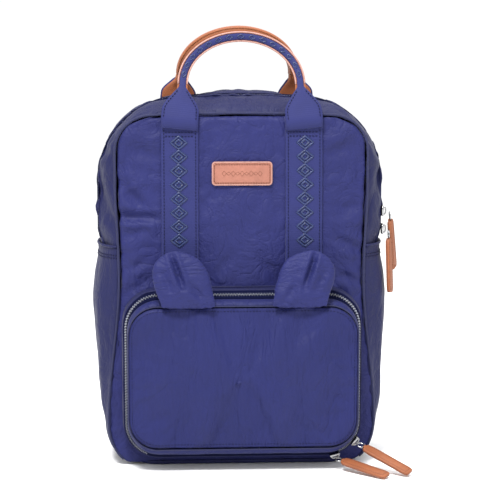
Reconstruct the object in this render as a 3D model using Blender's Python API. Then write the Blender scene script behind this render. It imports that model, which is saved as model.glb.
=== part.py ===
"""School backpack: a soft navy bag with a tip-open front, a zipped front pocket with two ears,
two grip handles, four zip sliders with leather pulls, and padded shoulder straps.

Metres, +Z up, -Y is the front. The origin is the centre of the flat underside.
"""

import math

import bmesh
import bpy
from mathutils import Matrix, Vector

MM = 0.001
GAP = 0.3 * MM  # left between pieces that touch

# Driving dimensions of the bag
BODY_HEIGHT = 386 * MM
BODY_HALF_WIDTH = 150 * MM
FRONT_Y = -48 * MM  # plane of the front panel's seam
WIDEST_Y = 5 * MM  # depth at which the bag is widest
BACK_Y = 48 * MM  # plane of the back panel's seam
CLOTH = 2.6 * MM  # padded cloth with its lining
PANEL_BULGE = 6 * MM
PANEL_INSET = 3.6 * MM  # from the outline to the cut edge of a panel, inside the seam
LOW_INSET = 4 * MM  # the further inset at the rounded bottom corners
POCKET_HEM_Z = 226 * MM  # open top of each side pocket
SIDE_DENT = 5.5 * MM  # how far the bag's side draws in behind a side pocket

# Main zip and the fold below its ends
ZIP_FRONT_Y = -21 * MM
ZIP_SPLIT_Y = -16 * MM
ZIP_REAR_Y = -11 * MM
ZIP_THICKNESS = 1.6 * MM
FOLD_LOW_Z = 199 * MM
FOLD_HIGH_Z = 229 * MM

# Front pocket, from its base on the panel to its face
POCKET_HINGE_Y = -79 * MM
POCKET_GUSSET_Y = -65 * MM
POCKET_SPLIT_Y = -70.6 * MM
POCKET_TAPE_Y = -76 * MM
POCKET_FACE_Y = -88 * MM
POCKET_CLOTH = 2.4 * MM
POCKET_CORNER = 35 * MM

STRAP_X = 63.5 * MM
STRAP_WIDTH = 38 * MM
STRAP_THICKNESS = 1.6 * MM

NAVY = (0.055, 0.062, 0.210)
NAVY_DARK = (0.030, 0.036, 0.090)
TAN = (0.560, 0.235, 0.140)
STEEL = (0.60, 0.60, 0.62)
MESH_GREY = (0.045, 0.050, 0.120)

STEPS_CORNER = 8
STEPS_SIDE = 7
STEPS_TOP = 5


# ---------------------------------------------------------------- making objects


def clear_scene():
    for obj in list(bpy.data.objects):
        bpy.data.objects.remove(obj)


def material(name, colour, roughness, metallic=0.0):
    made = bpy.data.materials.get(name)
    if made is None:
        made = bpy.data.materials.new(name)
        made.use_nodes = True
        shader = made.node_tree.nodes["Principled BSDF"]
        shader.inputs["Base Color"].default_value = (*colour, 1.0)
        shader.inputs["Roughness"].default_value = roughness
        shader.inputs["Metallic"].default_value = metallic
    return made


def cloth():
    return material("navy_cloth", NAVY, 0.75)


def webbing():
    return material("navy_webbing", NAVY, 0.80)


def tape():
    return material("zip_tape", NAVY_DARK, 0.60)


def leather():
    return material("tan_leather", TAN, 0.55)


def metal():
    return material("bright_metal", STEEL, 0.25, 1.0)


def add_object(name, points, faces, look, origin=(0, 0, 0)):
    """A closed mesh object with its faces pointing out and its own origin."""
    start = Vector(origin)
    bm = bmesh.new()
    corners = [bm.verts.new(Vector(p) - start) for p in points]
    for face in faces:
        bm.faces.new([corners[i] for i in face])
    bmesh.ops.recalc_face_normals(bm, faces=bm.faces)
    mesh = bpy.data.meshes.new(name)
    bm.to_mesh(mesh)
    bm.free()
    mesh.materials.append(look)
    mesh.shade_smooth()
    mesh.set_sharp_from_angle(angle=math.radians(40))
    obj = bpy.data.objects.new(name, mesh)
    obj.location = start
    bpy.context.scene.collection.objects.link(obj)
    return obj


def two_sided(name, outer, inner, look, ring=False, origin=(0, 0, 0)):
    """A solid between two grids of points with the same rows and columns.
    A ring closes on itself along its columns."""
    rows, columns = len(outer), len(outer[0])
    points = [p for grid in (outer, inner) for row in grid for p in row]
    half = rows * columns
    spans = columns if ring else columns - 1
    faces = []
    for r in range(rows - 1):
        for c in range(spans):
            n = (c + 1) % columns
            a, b = r * columns + c, r * columns + n
            e, f = a + columns, b + columns
            faces.append((a, b, f, e))
            faces.append((half + a, half + e, half + f, half + b))
    for c in range(spans):
        n = (c + 1) % columns
        last = (rows - 1) * columns
        faces.append((c, half + c, half + n, n))
        faces.append((last + c, last + n, half + last + n, half + last + c))
    if not ring:
        for r in range(rows - 1):
            a, e = r * columns, (r + 1) * columns
            z, y = a + columns - 1, e + columns - 1
            faces.append((a, e, half + e, half + a))
            faces.append((z, half + z, half + y, y))
    return add_object(name, points, faces, look, origin)


def grid_normals(grid, ring=False):
    rows, columns = len(grid), len(grid[0])
    found = []
    for r in range(rows):
        line = []
        for c in range(columns):
            left = grid[r][(c - 1) % columns] if ring else grid[r][max(c - 1, 0)]
            right = grid[r][(c + 1) % columns] if ring else grid[r][min(c + 1, columns - 1)]
            below, above = grid[max(r - 1, 0)][c], grid[min(r + 1, rows - 1)][c]
            line.append((right - left).cross(above - below).normalized())
        found.append(line)
    return found


def sheet(name, grid, thickness, look, ring=False, lift=0.0, origin=(0, 0, 0)):
    """A sheet of cloth whose outer side is the grid raised by lift, and whose cloth lies under it."""
    normals = grid_normals(grid, ring)
    outer = [[p + n * lift for p, n in zip(*pair)] for pair in zip(grid, normals)]
    inner = [[p + n * (lift - thickness) for p, n in zip(*pair)] for pair in zip(grid, normals)]
    return two_sided(name, outer, inner, look, ring, origin)


def prism(name, outline, y_front, y_back, look):
    """A flat slab: an outline of (x, z) points, extruded along Y."""
    count = len(outline)
    points = [(x, y, z) for y in (y_front, y_back) for x, z in outline]
    faces = [tuple(range(count)), tuple(range(2 * count - 1, count - 1, -1))]
    faces += [(i, count + i, count + (i + 1) % count, (i + 1) % count) for i in range(count)]
    return add_object(name, points, faces, look)


def sweep(name, centres, sides, fronts, section, look, origin=(0, 0, 0)):
    """A solid swept along centres. section(i) lists (across, out) pairs, laid on the two directions there."""
    rings = []
    for i, (centre, side, front) in enumerate(zip(centres, sides, fronts)):
        rings.append([centre + side * a + front * b for a, b in section(i)])
    count = len(rings[0])
    points = [p for ring in rings for p in ring]
    faces = [tuple(range(count)), tuple(range(len(points) - 1, len(points) - count - 1, -1))]
    for r in range(len(rings) - 1):
        for c in range(count):
            n = (c + 1) % count
            faces.append((r * count + c, r * count + n, (r + 1) * count + n, (r + 1) * count + c))
    return add_object(name, points, faces, look, origin)


def rounded(half_across, half_out, steps=8):
    """An ellipse of (across, out) pairs."""
    turns = [math.tau * k / steps for k in range(steps)]
    return [(half_across * math.cos(a), half_out * math.sin(a)) for a in turns]


def strip(half_width, thickness):
    return [(-half_width, 0), (half_width, 0), (half_width, thickness), (-half_width, thickness)]


# ---------------------------------------------------------------- outlines of the bag


def smooth(low, high, x):
    t = min(max((x - low) / (high - low), 0.0), 1.0)
    return t * t * (3 - 2 * t)


class Outline:
    """Half of an upright outline, from low on the side up to the top centre, mirrored when asked."""

    def __init__(self, low_half, mid_half, high_half, top, corner, dome, dent=0.0, foot=45 * MM):
        self.low_half, self.mid_half, self.high_half = low_half, mid_half, high_half
        self.top, self.corner, self.dome, self.foot = top, corner, dome, foot
        self.foot_run = 30 * MM
        self.dent = dent

    def half(self, z):
        """Half of the width at height z, below the top corner."""
        dented = self.dent * (1 - smooth(POCKET_HEM_Z - 10 * MM, POCKET_HEM_Z + 22 * MM, z))
        if z < self.foot:
            drop = (self.foot - z) / self.foot
            return self.low_half - dented - self.foot_run * (1 - math.sqrt(max(1 - drop * drop, 0)))
        rise = smooth(self.foot, 200 * MM, z)
        if z < 200 * MM:
            return self.low_half - dented + (self.mid_half - self.low_half) * rise
        return self.mid_half - dented + (self.high_half - self.mid_half) * smooth(200 * MM, 300 * MM, z)

    def side(self, low, high, steps):
        heights = [low + (high - low) * (k / steps) ** 1.6 for k in range(steps + 1)]
        return [(self.half(z), z) for z in heights]

    def arch(self, low):
        """Right side from height low, round the corner, to the left side at height low."""
        start = self.top - self.corner
        right = self.side(low, start, STEPS_SIDE)[:-1]
        inner = self.half(start) - self.corner
        for k in range(STEPS_CORNER + 1):
            a = math.pi / 2 * k / STEPS_CORNER
            right.append((inner + self.corner * math.cos(a), start + self.corner * math.sin(a)))
        for k in range(1, STEPS_TOP + 1):
            x = inner * (1 - k / STEPS_TOP)
            right.append((x, self.top + self.dome * (1 - (x / inner) ** 2)))
        return right + [(-x, z) for x, z in reversed(right[:-1])]


FRONT = Outline(139 * MM, 124 * MM, 127 * MM, 361 * MM, 30 * MM, 2 * MM)
FULLEST = (141 * MM, BODY_HALF_WIDTH, BODY_HALF_WIDTH, BODY_HEIGHT - 2 * MM, 93 * MM, 2 * MM)
WIDEST = Outline(*FULLEST, dent=SIDE_DENT)
POCKET_SIDE = Outline(*FULLEST)
BACK = Outline(136 * MM, 138 * MM, 138 * MM, 371 * MM, 70 * MM, 2 * MM)


def fullness(y):
    """0 at a seam and 1 where the bag is widest, along a quarter of an ellipse."""
    reach = (WIDEST_Y - FRONT_Y) if y < WIDEST_Y else (BACK_Y - WIDEST_Y)
    away = min(abs(y - WIDEST_Y) / reach, 1.0)
    return math.sqrt(1 - away * away)


def seam(y):
    return FRONT if y < WIDEST_Y else BACK


def between(y, first, second):
    share = fullness(y)
    x = first[0] + (second[0] - first[0]) * share
    z = first[1] + (second[1] - first[1]) * share
    return Vector((x, y, z))


def spread(low, high, count):
    return [low + (high - low) * k / (count - 1) for k in range(count)]


def arch_band(y_low, y_high, rows, low):
    """Grid over the arch of the bag between two depths, its outer side facing out."""
    grid = []
    for y in spread(y_high, y_low, rows):
        pairs = zip(seam(y).arch(low), WIDEST.arch(low))
        grid.append([between(y, near, far) for near, far in pairs])
    return grid


def side_band(widest, y_low, y_high, rows, low, high, steps, side):
    """Grid over one side of the bag. side is 1 for the right and -1 for the left."""
    grid = []
    for y in spread(y_high, y_low, rows):
        pairs = zip(seam(y).side(low, high, steps), widest.side(low, high, steps))
        line = [between(y, near, far) for near, far in pairs]
        if side < 0:
            line = [Vector((-p.x, p.y, p.z)) for p in reversed(line)]
        grid.append(line)
    return grid


def front_half(z):
    """Half of the front panel's width at height z, with its rounded top corners."""
    start = FRONT.top - FRONT.corner
    if z <= start:
        return FRONT.half(z)
    rise = min(z - start, FRONT.corner)
    return FRONT.half(start) - FRONT.corner + math.sqrt(FRONT.corner**2 - rise**2)


def front_y(x, z):
    """Depth of the front panel's outer side."""
    across = 1 - (x / front_half(z)) ** 2
    along = 4 * (z / FRONT.top) * (1 - z / FRONT.top)
    return FRONT_Y - PANEL_BULGE * max(across, 0) ** 0.7 * max(along, 0) ** 0.6


def panel_grid(low, high, rows, columns=11):
    grid = []
    for k in range(rows):
        share = k / (rows - 1)
        z = low + (high - low) * share
        half = front_half(z) - PANEL_INSET - LOW_INSET * (1 - smooth(0, 100 * MM, z))
        line = []
        for x in spread(-half, half, columns):
            line.append(Vector((x, front_y(x, z), z)))
        grid.append(line)
    return grid


# ---------------------------------------------------------------- bag body


def make_front():
    corner_rows = [(FRONT.corner - PANEL_INSET) * math.sin(math.pi / 2 * k / 5) for k in range(6)]
    start = FRONT.top - FRONT.corner
    grid = panel_grid(FOLD_HIGH_Z, start, 7)[:-1]
    for rise in corner_rows:
        grid += panel_grid(start + rise, start + rise, 2)[:1]
    sheet("upper_front_panel", grid, CLOTH, cloth())
    sheet("lower_front_panel", panel_grid(4 * MM, FOLD_LOW_Z, 7), CLOTH, cloth())
    gusset = arch_band(FRONT_Y + 0.4 * MM, ZIP_FRONT_Y, 5, FOLD_HIGH_Z)
    sheet("front_gusset", gusset, CLOTH, cloth())


def make_fold():
    """The soft strip below the zip's ends, which crumples as the front tips open."""
    low, high = FOLD_LOW_Z + GAP, FOLD_HIGH_Z - GAP
    grid = []
    for z in spread(low, high, 3):
        line = []
        for y in spread(ZIP_REAR_Y - GAP, FRONT_Y + 1 * MM, 5):
            line.append(between(y, (-FRONT.half(z), z), (-WIDEST.half(z), z)))
        panel = panel_grid(z, z, 2)[0]
        line += panel + [Vector((-p.x, p.y, p.z)) for p in reversed(line)]
        grid.append(line)
    sheet("front_fold", grid, CLOTH, cloth())


def make_sides():
    for side, word in ((1, "right"), (-1, "left")):
        lower = side_band(WIDEST, FRONT_Y + 0.4 * MM, ZIP_REAR_Y - GAP, 5, 2 * MM, FOLD_LOW_Z, 8, side)
        sheet(f"side_panel_{word}", lower, CLOTH, cloth())
        pocket = side_band(POCKET_SIDE, -42 * MM, 42 * MM, 9, 12 * MM, POCKET_HEM_Z, 8, side)
        sheet(f"side_pocket_{word}", pocket, 1.4 * MM, cloth(), lift=1.9 * MM)


def make_rear():
    rear = arch_band(ZIP_REAR_Y, BACK_Y - 0.4 * MM, 7, 2 * MM)
    sheet("rear_gusset", rear, CLOTH, cloth())
    outline = BACK.arch(7 * MM)
    mesh_look = material("back_mesh", MESH_GREY, 0.9)
    foam_look = material("foam", (0.6, 0.6, 0.58), 0.9)
    slabs = (("back_lining", 0.0, 1.4), ("back_foam", 1.7, 6.7), ("back_panel", 7.0, 9.4))
    for (name, start, end), look in zip(slabs, (cloth(), foam_look, mesh_look)):
        prism(name, outline, BACK_Y + start * MM, BACK_Y + end * MM, look)


def make_bottom():
    def plan(name, half, front, back, low, high, look):
        corners = []
        for cx, cy, first in ((1, 1, 0), (-1, 1, 90), (-1, -1, 180), (1, -1, 270)):
            middle = Vector((cx * (half - 14 * MM), (back if cy > 0 else front) - cy * 14 * MM))
            for k in range(5):
                a = math.radians(first + 90 * k / 4)
                corners.append((middle.x + 14 * MM * math.cos(a), middle.y + 14 * MM * math.sin(a)))
        count = len(corners)
        points = [(x, y, z) for z in (low, high) for x, y in corners]
        faces = [tuple(range(count)), tuple(range(2 * count - 1, count - 1, -1))]
        faces += [(i, count + i, count + (i + 1) % count, (i + 1) % count) for i in range(count)]
        add_object(name, points, faces, look)

    plan("bottom_panel", 112 * MM, FRONT_Y - 4 * MM, BACK_Y + 4 * MM, 0, 3.4 * MM, cloth())
    board = material("stiffener", (0.05, 0.05, 0.06), 0.6)
    plan("base_board", 106 * MM, FRONT_Y + 8 * MM, BACK_Y - 8 * MM, 6.4 * MM, 8.0 * MM, board)


def make_main_zip():
    for name, near, far in (
        ("main_zip_front", ZIP_FRONT_Y + 2 * GAP, ZIP_SPLIT_Y - GAP),
        ("main_zip_rear", ZIP_SPLIT_Y + GAP, ZIP_REAR_Y - 3 * GAP),
    ):
        grid = arch_band(near, far, 2, FOLD_HIGH_Z + 0.6 * MM)
        sheet(name, grid, ZIP_THICKNESS, tape(), lift=-0.2 * MM)


def make_sleeve():
    """The open-topped padded sleeve for a tablet, sewn to the inside of the back."""
    half, low, high, pleat = 105 * MM, 22 * MM, 250 * MM, 12 * MM
    grid = []
    for z in spread(low, high, 4):
        line = []
        for x in spread(-half, half, 7):
            out = pleat * (1 - (abs(x) / half) ** 6)
            line.append(Vector((x, BACK_Y - 2 * MM - out, z)))
        grid.append(line)
    sheet("tablet_sleeve", grid, 1.4 * MM, cloth())


def make_label():
    half_x, half_z, middle, corner = 31 * MM, 12.2 * MM, 304.5 * MM, 3 * MM
    outline = []
    for sx, sz, first in ((1, 1, 0), (-1, 1, 90), (-1, -1, 180), (1, -1, 270)):
        for k in range(4):
            a = math.radians(first + 30 * k)
            x = sx * (half_x - corner) + corner * math.cos(a)
            outline.append((x, middle + sz * (half_z - corner) + corner * math.sin(a)))
    y = front_y(0, middle) - 0.5 * MM
    prism("leather_label", outline, y - 1.6 * MM, y, leather())


# ---------------------------------------------------------------- front straps and handles


def strap_piece(name, x, low, high, steps):
    """A flat strap lying on the front panel."""
    centres, fronts = [], []
    for z in spread(low, high, steps):
        y = min(front_y(x - STRAP_WIDTH / 2, z), front_y(x, z), front_y(x + STRAP_WIDTH / 2, z))
        centres.append(Vector((x, y - GAP, z)))
        fronts.append(Vector((0, -1, 0)))
    sides = [Vector((1, 0, 0))] * steps
    shape = strip(STRAP_WIDTH / 2, STRAP_THICKNESS)
    sweep(name, centres, sides, fronts, lambda i: shape, webbing())


def make_front_straps():
    for side, word in ((1, "right"), (-1, "left")):
        x = side * STRAP_X
        strap_piece(f"front_strap_{word}", x, FOLD_HIGH_Z + 1 * MM, 357 * MM, 9)
        strap_piece(f"front_strap_lower_{word}", x, 191 * MM, FOLD_HIGH_Z - GAP, 3)


HANDLE_SPAN = 60 * MM  # half the distance between the legs of a handle
HANDLE_WIDE_STEPS = 4
HANDLE_ARCH_STEPS = 18


def handle_path(foot, neck, apex):
    """Centres and half widths of a handle, from its right foot over the arch to its left foot.
    foot, neck and apex are (y, z)."""
    centres, halves = [], []
    for k in range(HANDLE_WIDE_STEPS):
        share = k / HANDLE_WIDE_STEPS
        x = STRAP_X + (HANDLE_SPAN - STRAP_X) * share
        y = foot[0] + (neck[0] - foot[0]) * share
        centres.append(Vector((x, y, foot[1] + (neck[1] - foot[1]) * share)))
        halves.append(STRAP_WIDTH / 2 + (6.0 * MM - STRAP_WIDTH / 2) * smooth(0, 1, share))
    arch = []
    for k in range(HANDLE_ARCH_STEPS + 1):
        a = math.pi * k / HANDLE_ARCH_STEPS
        rise = math.sin(a)
        y = neck[0] + (apex[0] - neck[0]) * rise
        arch.append(Vector((HANDLE_SPAN * math.cos(a), y, neck[1] + (apex[1] - neck[1]) * rise)))
    other = [Vector((-p.x, p.y, p.z)) for p in reversed(centres)]
    narrow = [6.0 * MM] * len(arch)
    return centres + arch + other, halves + narrow + list(reversed(halves))


def handle_frames(centres, lean):
    """Directions across and out at each centre: across lies in the handle's own plane."""
    sides, fronts = [], []
    for i, _ in enumerate(centres):
        along = (centres[min(i + 1, len(centres) - 1)] - centres[max(i - 1, 0)]).normalized()
        side = along.cross(lean).normalized()
        sides.append(side)
        fronts.append(side.cross(along).normalized())
    return sides, fronts


def make_handle(word, outward, foot, neck, apex):
    """A webbing strap on the side away from the bag's middle, on a leather grip.
    outward is -1 for the front handle and 1 for the rear one."""
    centres, halves = handle_path(foot, neck, apex)
    sides, fronts = handle_frames(centres, Vector((0, outward, 0)))
    pivot = (0, foot[0], foot[1])

    def webbing_section(i):
        half = max(halves[i] - 2.2 * MM, 3.6 * MM)
        return strip(half, 1.5 * MM)

    def leather_section(i):
        deep = 1.6 * MM + 6.5 * MM * smooth(19 * MM, 6 * MM, halves[i]) if halves[i] > 6.1 * MM else 8 * MM
        half = halves[i]
        return [
            (-half, -GAP),
            (half, -GAP),
            (half, -0.35 * deep),
            (half * 0.72, -deep),
            (-half * 0.72, -deep),
            (-half, -0.35 * deep),
        ]

    sweep(f"{word}_handle_webbing", centres, sides, fronts, webbing_section, webbing(), pivot)
    sweep(f"{word}_handle_leather", centres, sides, fronts, leather_section, leather(), pivot)


def make_handles():
    make_handle("front", -1, (-53 * MM, 360 * MM), (-43 * MM, 395 * MM), (-25 * MM, 443 * MM))
    make_handle("rear", 1, (BACK_Y + 6 * MM, 376 * MM), (47 * MM, 404 * MM), (17 * MM, 449 * MM))


# ---------------------------------------------------------------- front pocket


def ring_outline(half, low, high, corner, steps=6):
    """A rounded rectangle of (x, z) points, anticlockwise seen from the front."""
    centres = ((1, -1, -90), (1, 1, 0), (-1, 1, 90), (-1, -1, 180))
    points = []
    for sx, sz, first in centres:
        cx = sx * (half - corner)
        cz = (low + corner) if sz < 0 else (high - corner)
        for k in range(steps + 1):
            a = math.radians(first + 90 * k / steps)
            points.append((cx + corner * math.cos(a), cz + corner * math.sin(a)))
    return points


POCKET_BASE = ring_outline(123 * MM, 10 * MM, 186 * MM, 37 * MM)
POCKET_ZIP = ring_outline(121 * MM, 14 * MM, 182 * MM, POCKET_CORNER)
POCKET_FACE = ring_outline(113.5 * MM, 27 * MM, 170 * MM, 28 * MM)


def pocket_band(stations):
    """Grid round the pocket. Each station is (first outline, second outline, share, y)."""
    grid = []
    for first, second, share, y in stations:
        line = []
        for (x0, z0), (x1, z1) in zip(first, second):
            x, z = x0 + (x1 - x0) * share, z0 + (z1 - z0) * share
            line.append(Vector((x, front_y(x, z) - 3.8 * MM if y is None else y, z)))
        grid.append(line)
    return grid


def face_grid():
    """The pocket's padded face: rings of the outline drawn in towards its middle."""
    middle = Vector((0, 98 * MM))
    grid = []
    for share in (0.0, 0.10, 0.25, 0.5, 0.75):
        bulge = 7 * MM * (1 - (1 - share) ** 2.2)
        line = []
        for x, z in POCKET_FACE:
            near = Vector((x, z)).lerp(middle, share)
            line.append(Vector((near.x, POCKET_FACE_Y - bulge, near.y)))
        grid.append(line)
    return grid


def make_face():
    outer = face_grid()
    inner = [[p + Vector((0, POCKET_CLOTH, 0)) for p in line] for line in outer]
    rows, count = len(outer), len(outer[0])
    points = [p for grid in (outer, inner) for line in grid for p in line]
    half = rows * count
    faces = []
    for r in range(rows - 1):
        for c in range(count):
            n = (c + 1) % count
            a, b, e, f = r * count + c, r * count + n, (r + 1) * count + c, (r + 1) * count + n
            faces += [(a, b, f, e), (half + a, half + e, half + f, half + b)]
    for c in range(count):
        n = (c + 1) % count
        faces.append((c, half + c, half + n, n))
    last = (rows - 1) * count
    faces.append(tuple(last + c for c in range(count)))
    faces.append(tuple(half + last + c for c in reversed(range(count))))
    add_object("pocket_face", points, faces, cloth(), (0, POCKET_HINGE_Y, 14 * MM))


def make_pocket():
    base = [(POCKET_BASE, POCKET_ZIP, 0.0, None), (POCKET_BASE, POCKET_ZIP, 0.7, -60 * MM)]
    base.append((POCKET_BASE, POCKET_ZIP, 1.0, POCKET_GUSSET_Y))
    sheet("pocket_gusset", pocket_band(base), POCKET_CLOTH, cloth(), ring=True)
    for name, near, far in (
        ("pocket_zip_outer", POCKET_GUSSET_Y - GAP, POCKET_SPLIT_Y + 0.2 * MM),
        ("pocket_zip_inner", POCKET_SPLIT_Y - 0.4 * MM, POCKET_TAPE_Y),
    ):
        stations = [(POCKET_ZIP, POCKET_ZIP, 0, near), (POCKET_ZIP, POCKET_ZIP, 0, far)]
        sheet(name, pocket_band(stations), ZIP_THICKNESS, tape(), ring=True, lift=-0.2 * MM)
    front = []
    for share in (0.0, 0.4, 0.8, 1.0):
        y = POCKET_TAPE_Y - 0.8 * MM + (POCKET_FACE_Y + 3.8 * MM - POCKET_TAPE_Y) * share
        inward = min(1 - math.sqrt(1 - share**2), 0.97)
        front.append((POCKET_ZIP, POCKET_FACE, inward, y))
    sheet("pocket_rim", pocket_band(front), POCKET_CLOTH, cloth(), ring=True)
    make_face()


def ear_outline(side):
    """Outline of an ear, base first, as (x, z) from the middle of its base."""
    points = []
    for k in range(13):
        a = math.pi * k / 12
        lean = 3 * MM * math.sin(a)
        points.append((side * (31 * MM * math.cos(a) + lean), 3 * MM + 49 * MM * math.sin(a) ** 0.8))
    return points


def make_ears():
    base_z, base_y, tall = 170 * MM, -92.5 * MM, 52 * MM
    for side, word in ((1, "right"), (-1, "left")):
        outline = ear_outline(side)
        middle = Vector((0, 22 * MM))
        rings = []
        for share, thick in ((0.0, 1.2), (0.12, 3.2), (0.4, 4.6), (0.75, 5.0)):
            ring = []
            for x, z in outline:
                p = Vector((x, z)).lerp(middle, share)
                ring.append((p.x, thick * MM * smooth(-6 * MM, 14 * MM, p.y) + 0.8 * MM, p.y))
            rings.append(ring)
        points = []
        for sign in (-1, 1):
            for ring in rings:
                for x, deep, z in ring:
                    back = 4.5 * MM * smooth(4 * MM, 18 * MM, z) + 11 * MM * (z / tall) ** 2
                    points.append((side * 62 * MM + x, base_y + back + sign * deep, base_z + z))
        count, layers = len(outline), len(rings)
        half = count * layers
        faces = []
        for r in range(layers - 1):
            for c in range(count):
                n = (c + 1) % count
                a, b, e, f = r * count + c, r * count + n, (r + 1) * count + c, (r + 1) * count + n
                faces += [(a, b, f, e), (half + a, half + e, half + f, half + b)]
        for c in range(count):
            n = (c + 1) % count
            faces.append((c, half + c, half + n, n))
        last = (layers - 1) * count
        faces.append(tuple(last + c for c in range(count)))
        faces.append(tuple(half + last + c for c in reversed(range(count))))
        add_object(f"ear_{word}", points, faces, cloth(), (side * 62 * MM, base_y, base_z))


# ---------------------------------------------------------------- sliders and pulls


def box_points(size, place):
    """The eight corners of a box, moved by a matrix."""
    half = Vector(size) / 2
    signs = [(i, j, k) for i in (-1, 1) for j in (-1, 1) for k in (-1, 1)]
    return [place @ Vector((i * half.x, j * half.y, k * half.z)) for i, j, k in signs]


BOX_FACES = [(0, 1, 3, 2), (4, 6, 7, 5), (0, 4, 5, 1), (2, 3, 7, 6), (0, 2, 6, 4), (1, 5, 7, 3)]


def frame_matrix(at, out, along):
    """Local X lies across, Y points out of the zip and Z runs along it."""
    y, z = Vector(out).normalized(), Vector(along).normalized()
    x = y.cross(z).normalized()
    turn = Matrix((x, y, z)).transposed().to_4x4()
    return Matrix.Translation(at) @ turn


SLIDER_WIDE, SLIDER_DEEP, SLIDER_LONG = 9 * MM, 3.0 * MM, 11 * MM
SLIDER_CLEAR = 1.1 * MM
TAB_LONG, TAB_WIDE, TAB_THICK = 56 * MM, 11.5 * MM, 3.6 * MM


def make_slider(name, place):
    """A wedge-shaped slider body with its bridge, lying on the teeth. place is at the teeth."""
    profile = [(-0.5, -0.5), (0.5, -0.5), (0.5, 0.1), (0.34, 0.5), (-0.34, 0.5), (-0.5, 0.1)]
    points = []
    for deep, shrink in ((SLIDER_CLEAR, 1.0), (SLIDER_CLEAR + SLIDER_DEEP, 0.86)):
        for across, along in profile:
            x, z = across * SLIDER_WIDE * shrink, along * SLIDER_LONG * shrink
            points.append(place @ Vector((x, deep, z)))
    count = len(profile)
    faces = [tuple(range(count)), tuple(range(2 * count - 1, count - 1, -1))]
    faces += [(i, count + i, count + (i + 1) % count, (i + 1) % count) for i in range(count)]
    add_object(name, points, faces, metal(), place.translation)


def make_pull(name, pivot, down, flat):
    """A wire link and a leather tab. pivot is where the link turns, down the way the tab points,
    and flat the direction that the tab's wide face looks."""
    down = Vector(down).normalized()
    flat = Vector(flat)
    flat = (flat - down * flat.dot(down)).normalized()
    across = down.cross(flat).normalized()
    start = Vector(pivot)
    wire, long, wide = 0.8 * MM, 4.0 * MM, 3.4 * MM
    centres = []
    for k in range(12):
        a = math.tau * k / 12
        centres.append(start + down * (long * (1 - math.cos(a))) + across * (wide * math.sin(a)))
    grid = []
    for i, centre in enumerate(centres):
        along = (centres[(i + 1) % 12] - centres[i - 1]).normalized()
        side = along.cross(flat).normalized()
        turns = [math.tau * k / 6 for k in range(6)]
        grid.append([centre + side * wire * math.cos(t) + flat * wire * math.sin(t) for t in turns])
    points = [p for ring in grid for p in ring]
    faces = []
    for r in range(12):
        for c in range(6):
            n, s = (c + 1) % 6, (r + 1) % 12
            faces.append((r * 6 + c, r * 6 + n, s * 6 + n, s * 6 + c))
    add_object(f"{name}_link", points, faces, metal(), pivot)
    top = start + down * (2 * long + wire + 0.3 * MM)
    half, deep = TAB_WIDE / 2, TAB_THICK / 2
    shape = [(0.0, 0.62), (2.5, 0.85), (9, 1.0), (TAB_LONG / MM - 5, 1.0), (TAB_LONG / MM, 0.62)]
    edge = [(s * half, d * MM) for d, s in shape] + [(-s * half, d * MM) for d, s in reversed(shape)]
    points = []
    for sign in (-1, 1):
        points += [top + across * a + down * d + flat * deep * sign for a, d in edge]
    count = len(edge)
    faces = [tuple(range(count)), tuple(range(2 * count - 1, count - 1, -1))]
    faces += [(i, count + i, count + (i + 1) % count, (i + 1) % count) for i in range(count)]
    add_object(f"{name}_tab", points, faces, leather(), pivot)


def zip_side_x(z):
    """Half width of the bag on the main zip's line."""
    point = between(ZIP_SPLIT_Y, (FRONT.half(z), z), (WIDEST.half(z), z))
    return point.x


def corner_point(degrees, lift=0.0):
    """A point on the lower right corner of the pocket's zip."""
    a = math.radians(degrees)
    cx, cz = 121 * MM - POCKET_CORNER, 14 * MM + POCKET_CORNER
    r = POCKET_CORNER + lift
    return Vector((cx + r * math.cos(a), POCKET_SPLIT_Y, cz + r * math.sin(a)))


def make_zip_hardware():
    pulls = {"upper": (262, 157.5, 1.5, (0.13, 0.30, -1)), "lower": (243, 156.2, -1.5, (0.02, -0.12, -1))}
    for name, (z, x, shift, aim) in pulls.items():
        at = Vector((zip_side_x((z + 6) * MM), ZIP_SPLIT_Y, z * MM))
        make_slider(f"main_slider_{name}", frame_matrix(at, (1, 0, 0), (0, 0, 1)))
        pivot = (x * MM, ZIP_SPLIT_Y + shift * MM, (z - 2) * MM)
        make_pull(f"main_pull_{name}", pivot, aim, (1, 0, 0))
    aims = {"side": (-35, (43, -31, -19.5)), "bottom": (-75, (46, -43, -7.5))}
    for name, (degrees, aim) in aims.items():
        at, out = corner_point(degrees), corner_point(degrees, 1) - corner_point(degrees)
        along = Vector((-out.z, 0, out.x))
        make_slider(f"pocket_slider_{name}", frame_matrix(at, out, along))
        pivot = at + out.normalized() * 4.6 * MM + Vector((0, -5.6 * MM, 0))
        make_pull(f"pocket_pull_{name}", pivot, aim, (0.2, -0.5, 1))


# ---------------------------------------------------------------- shoulder straps


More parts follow.
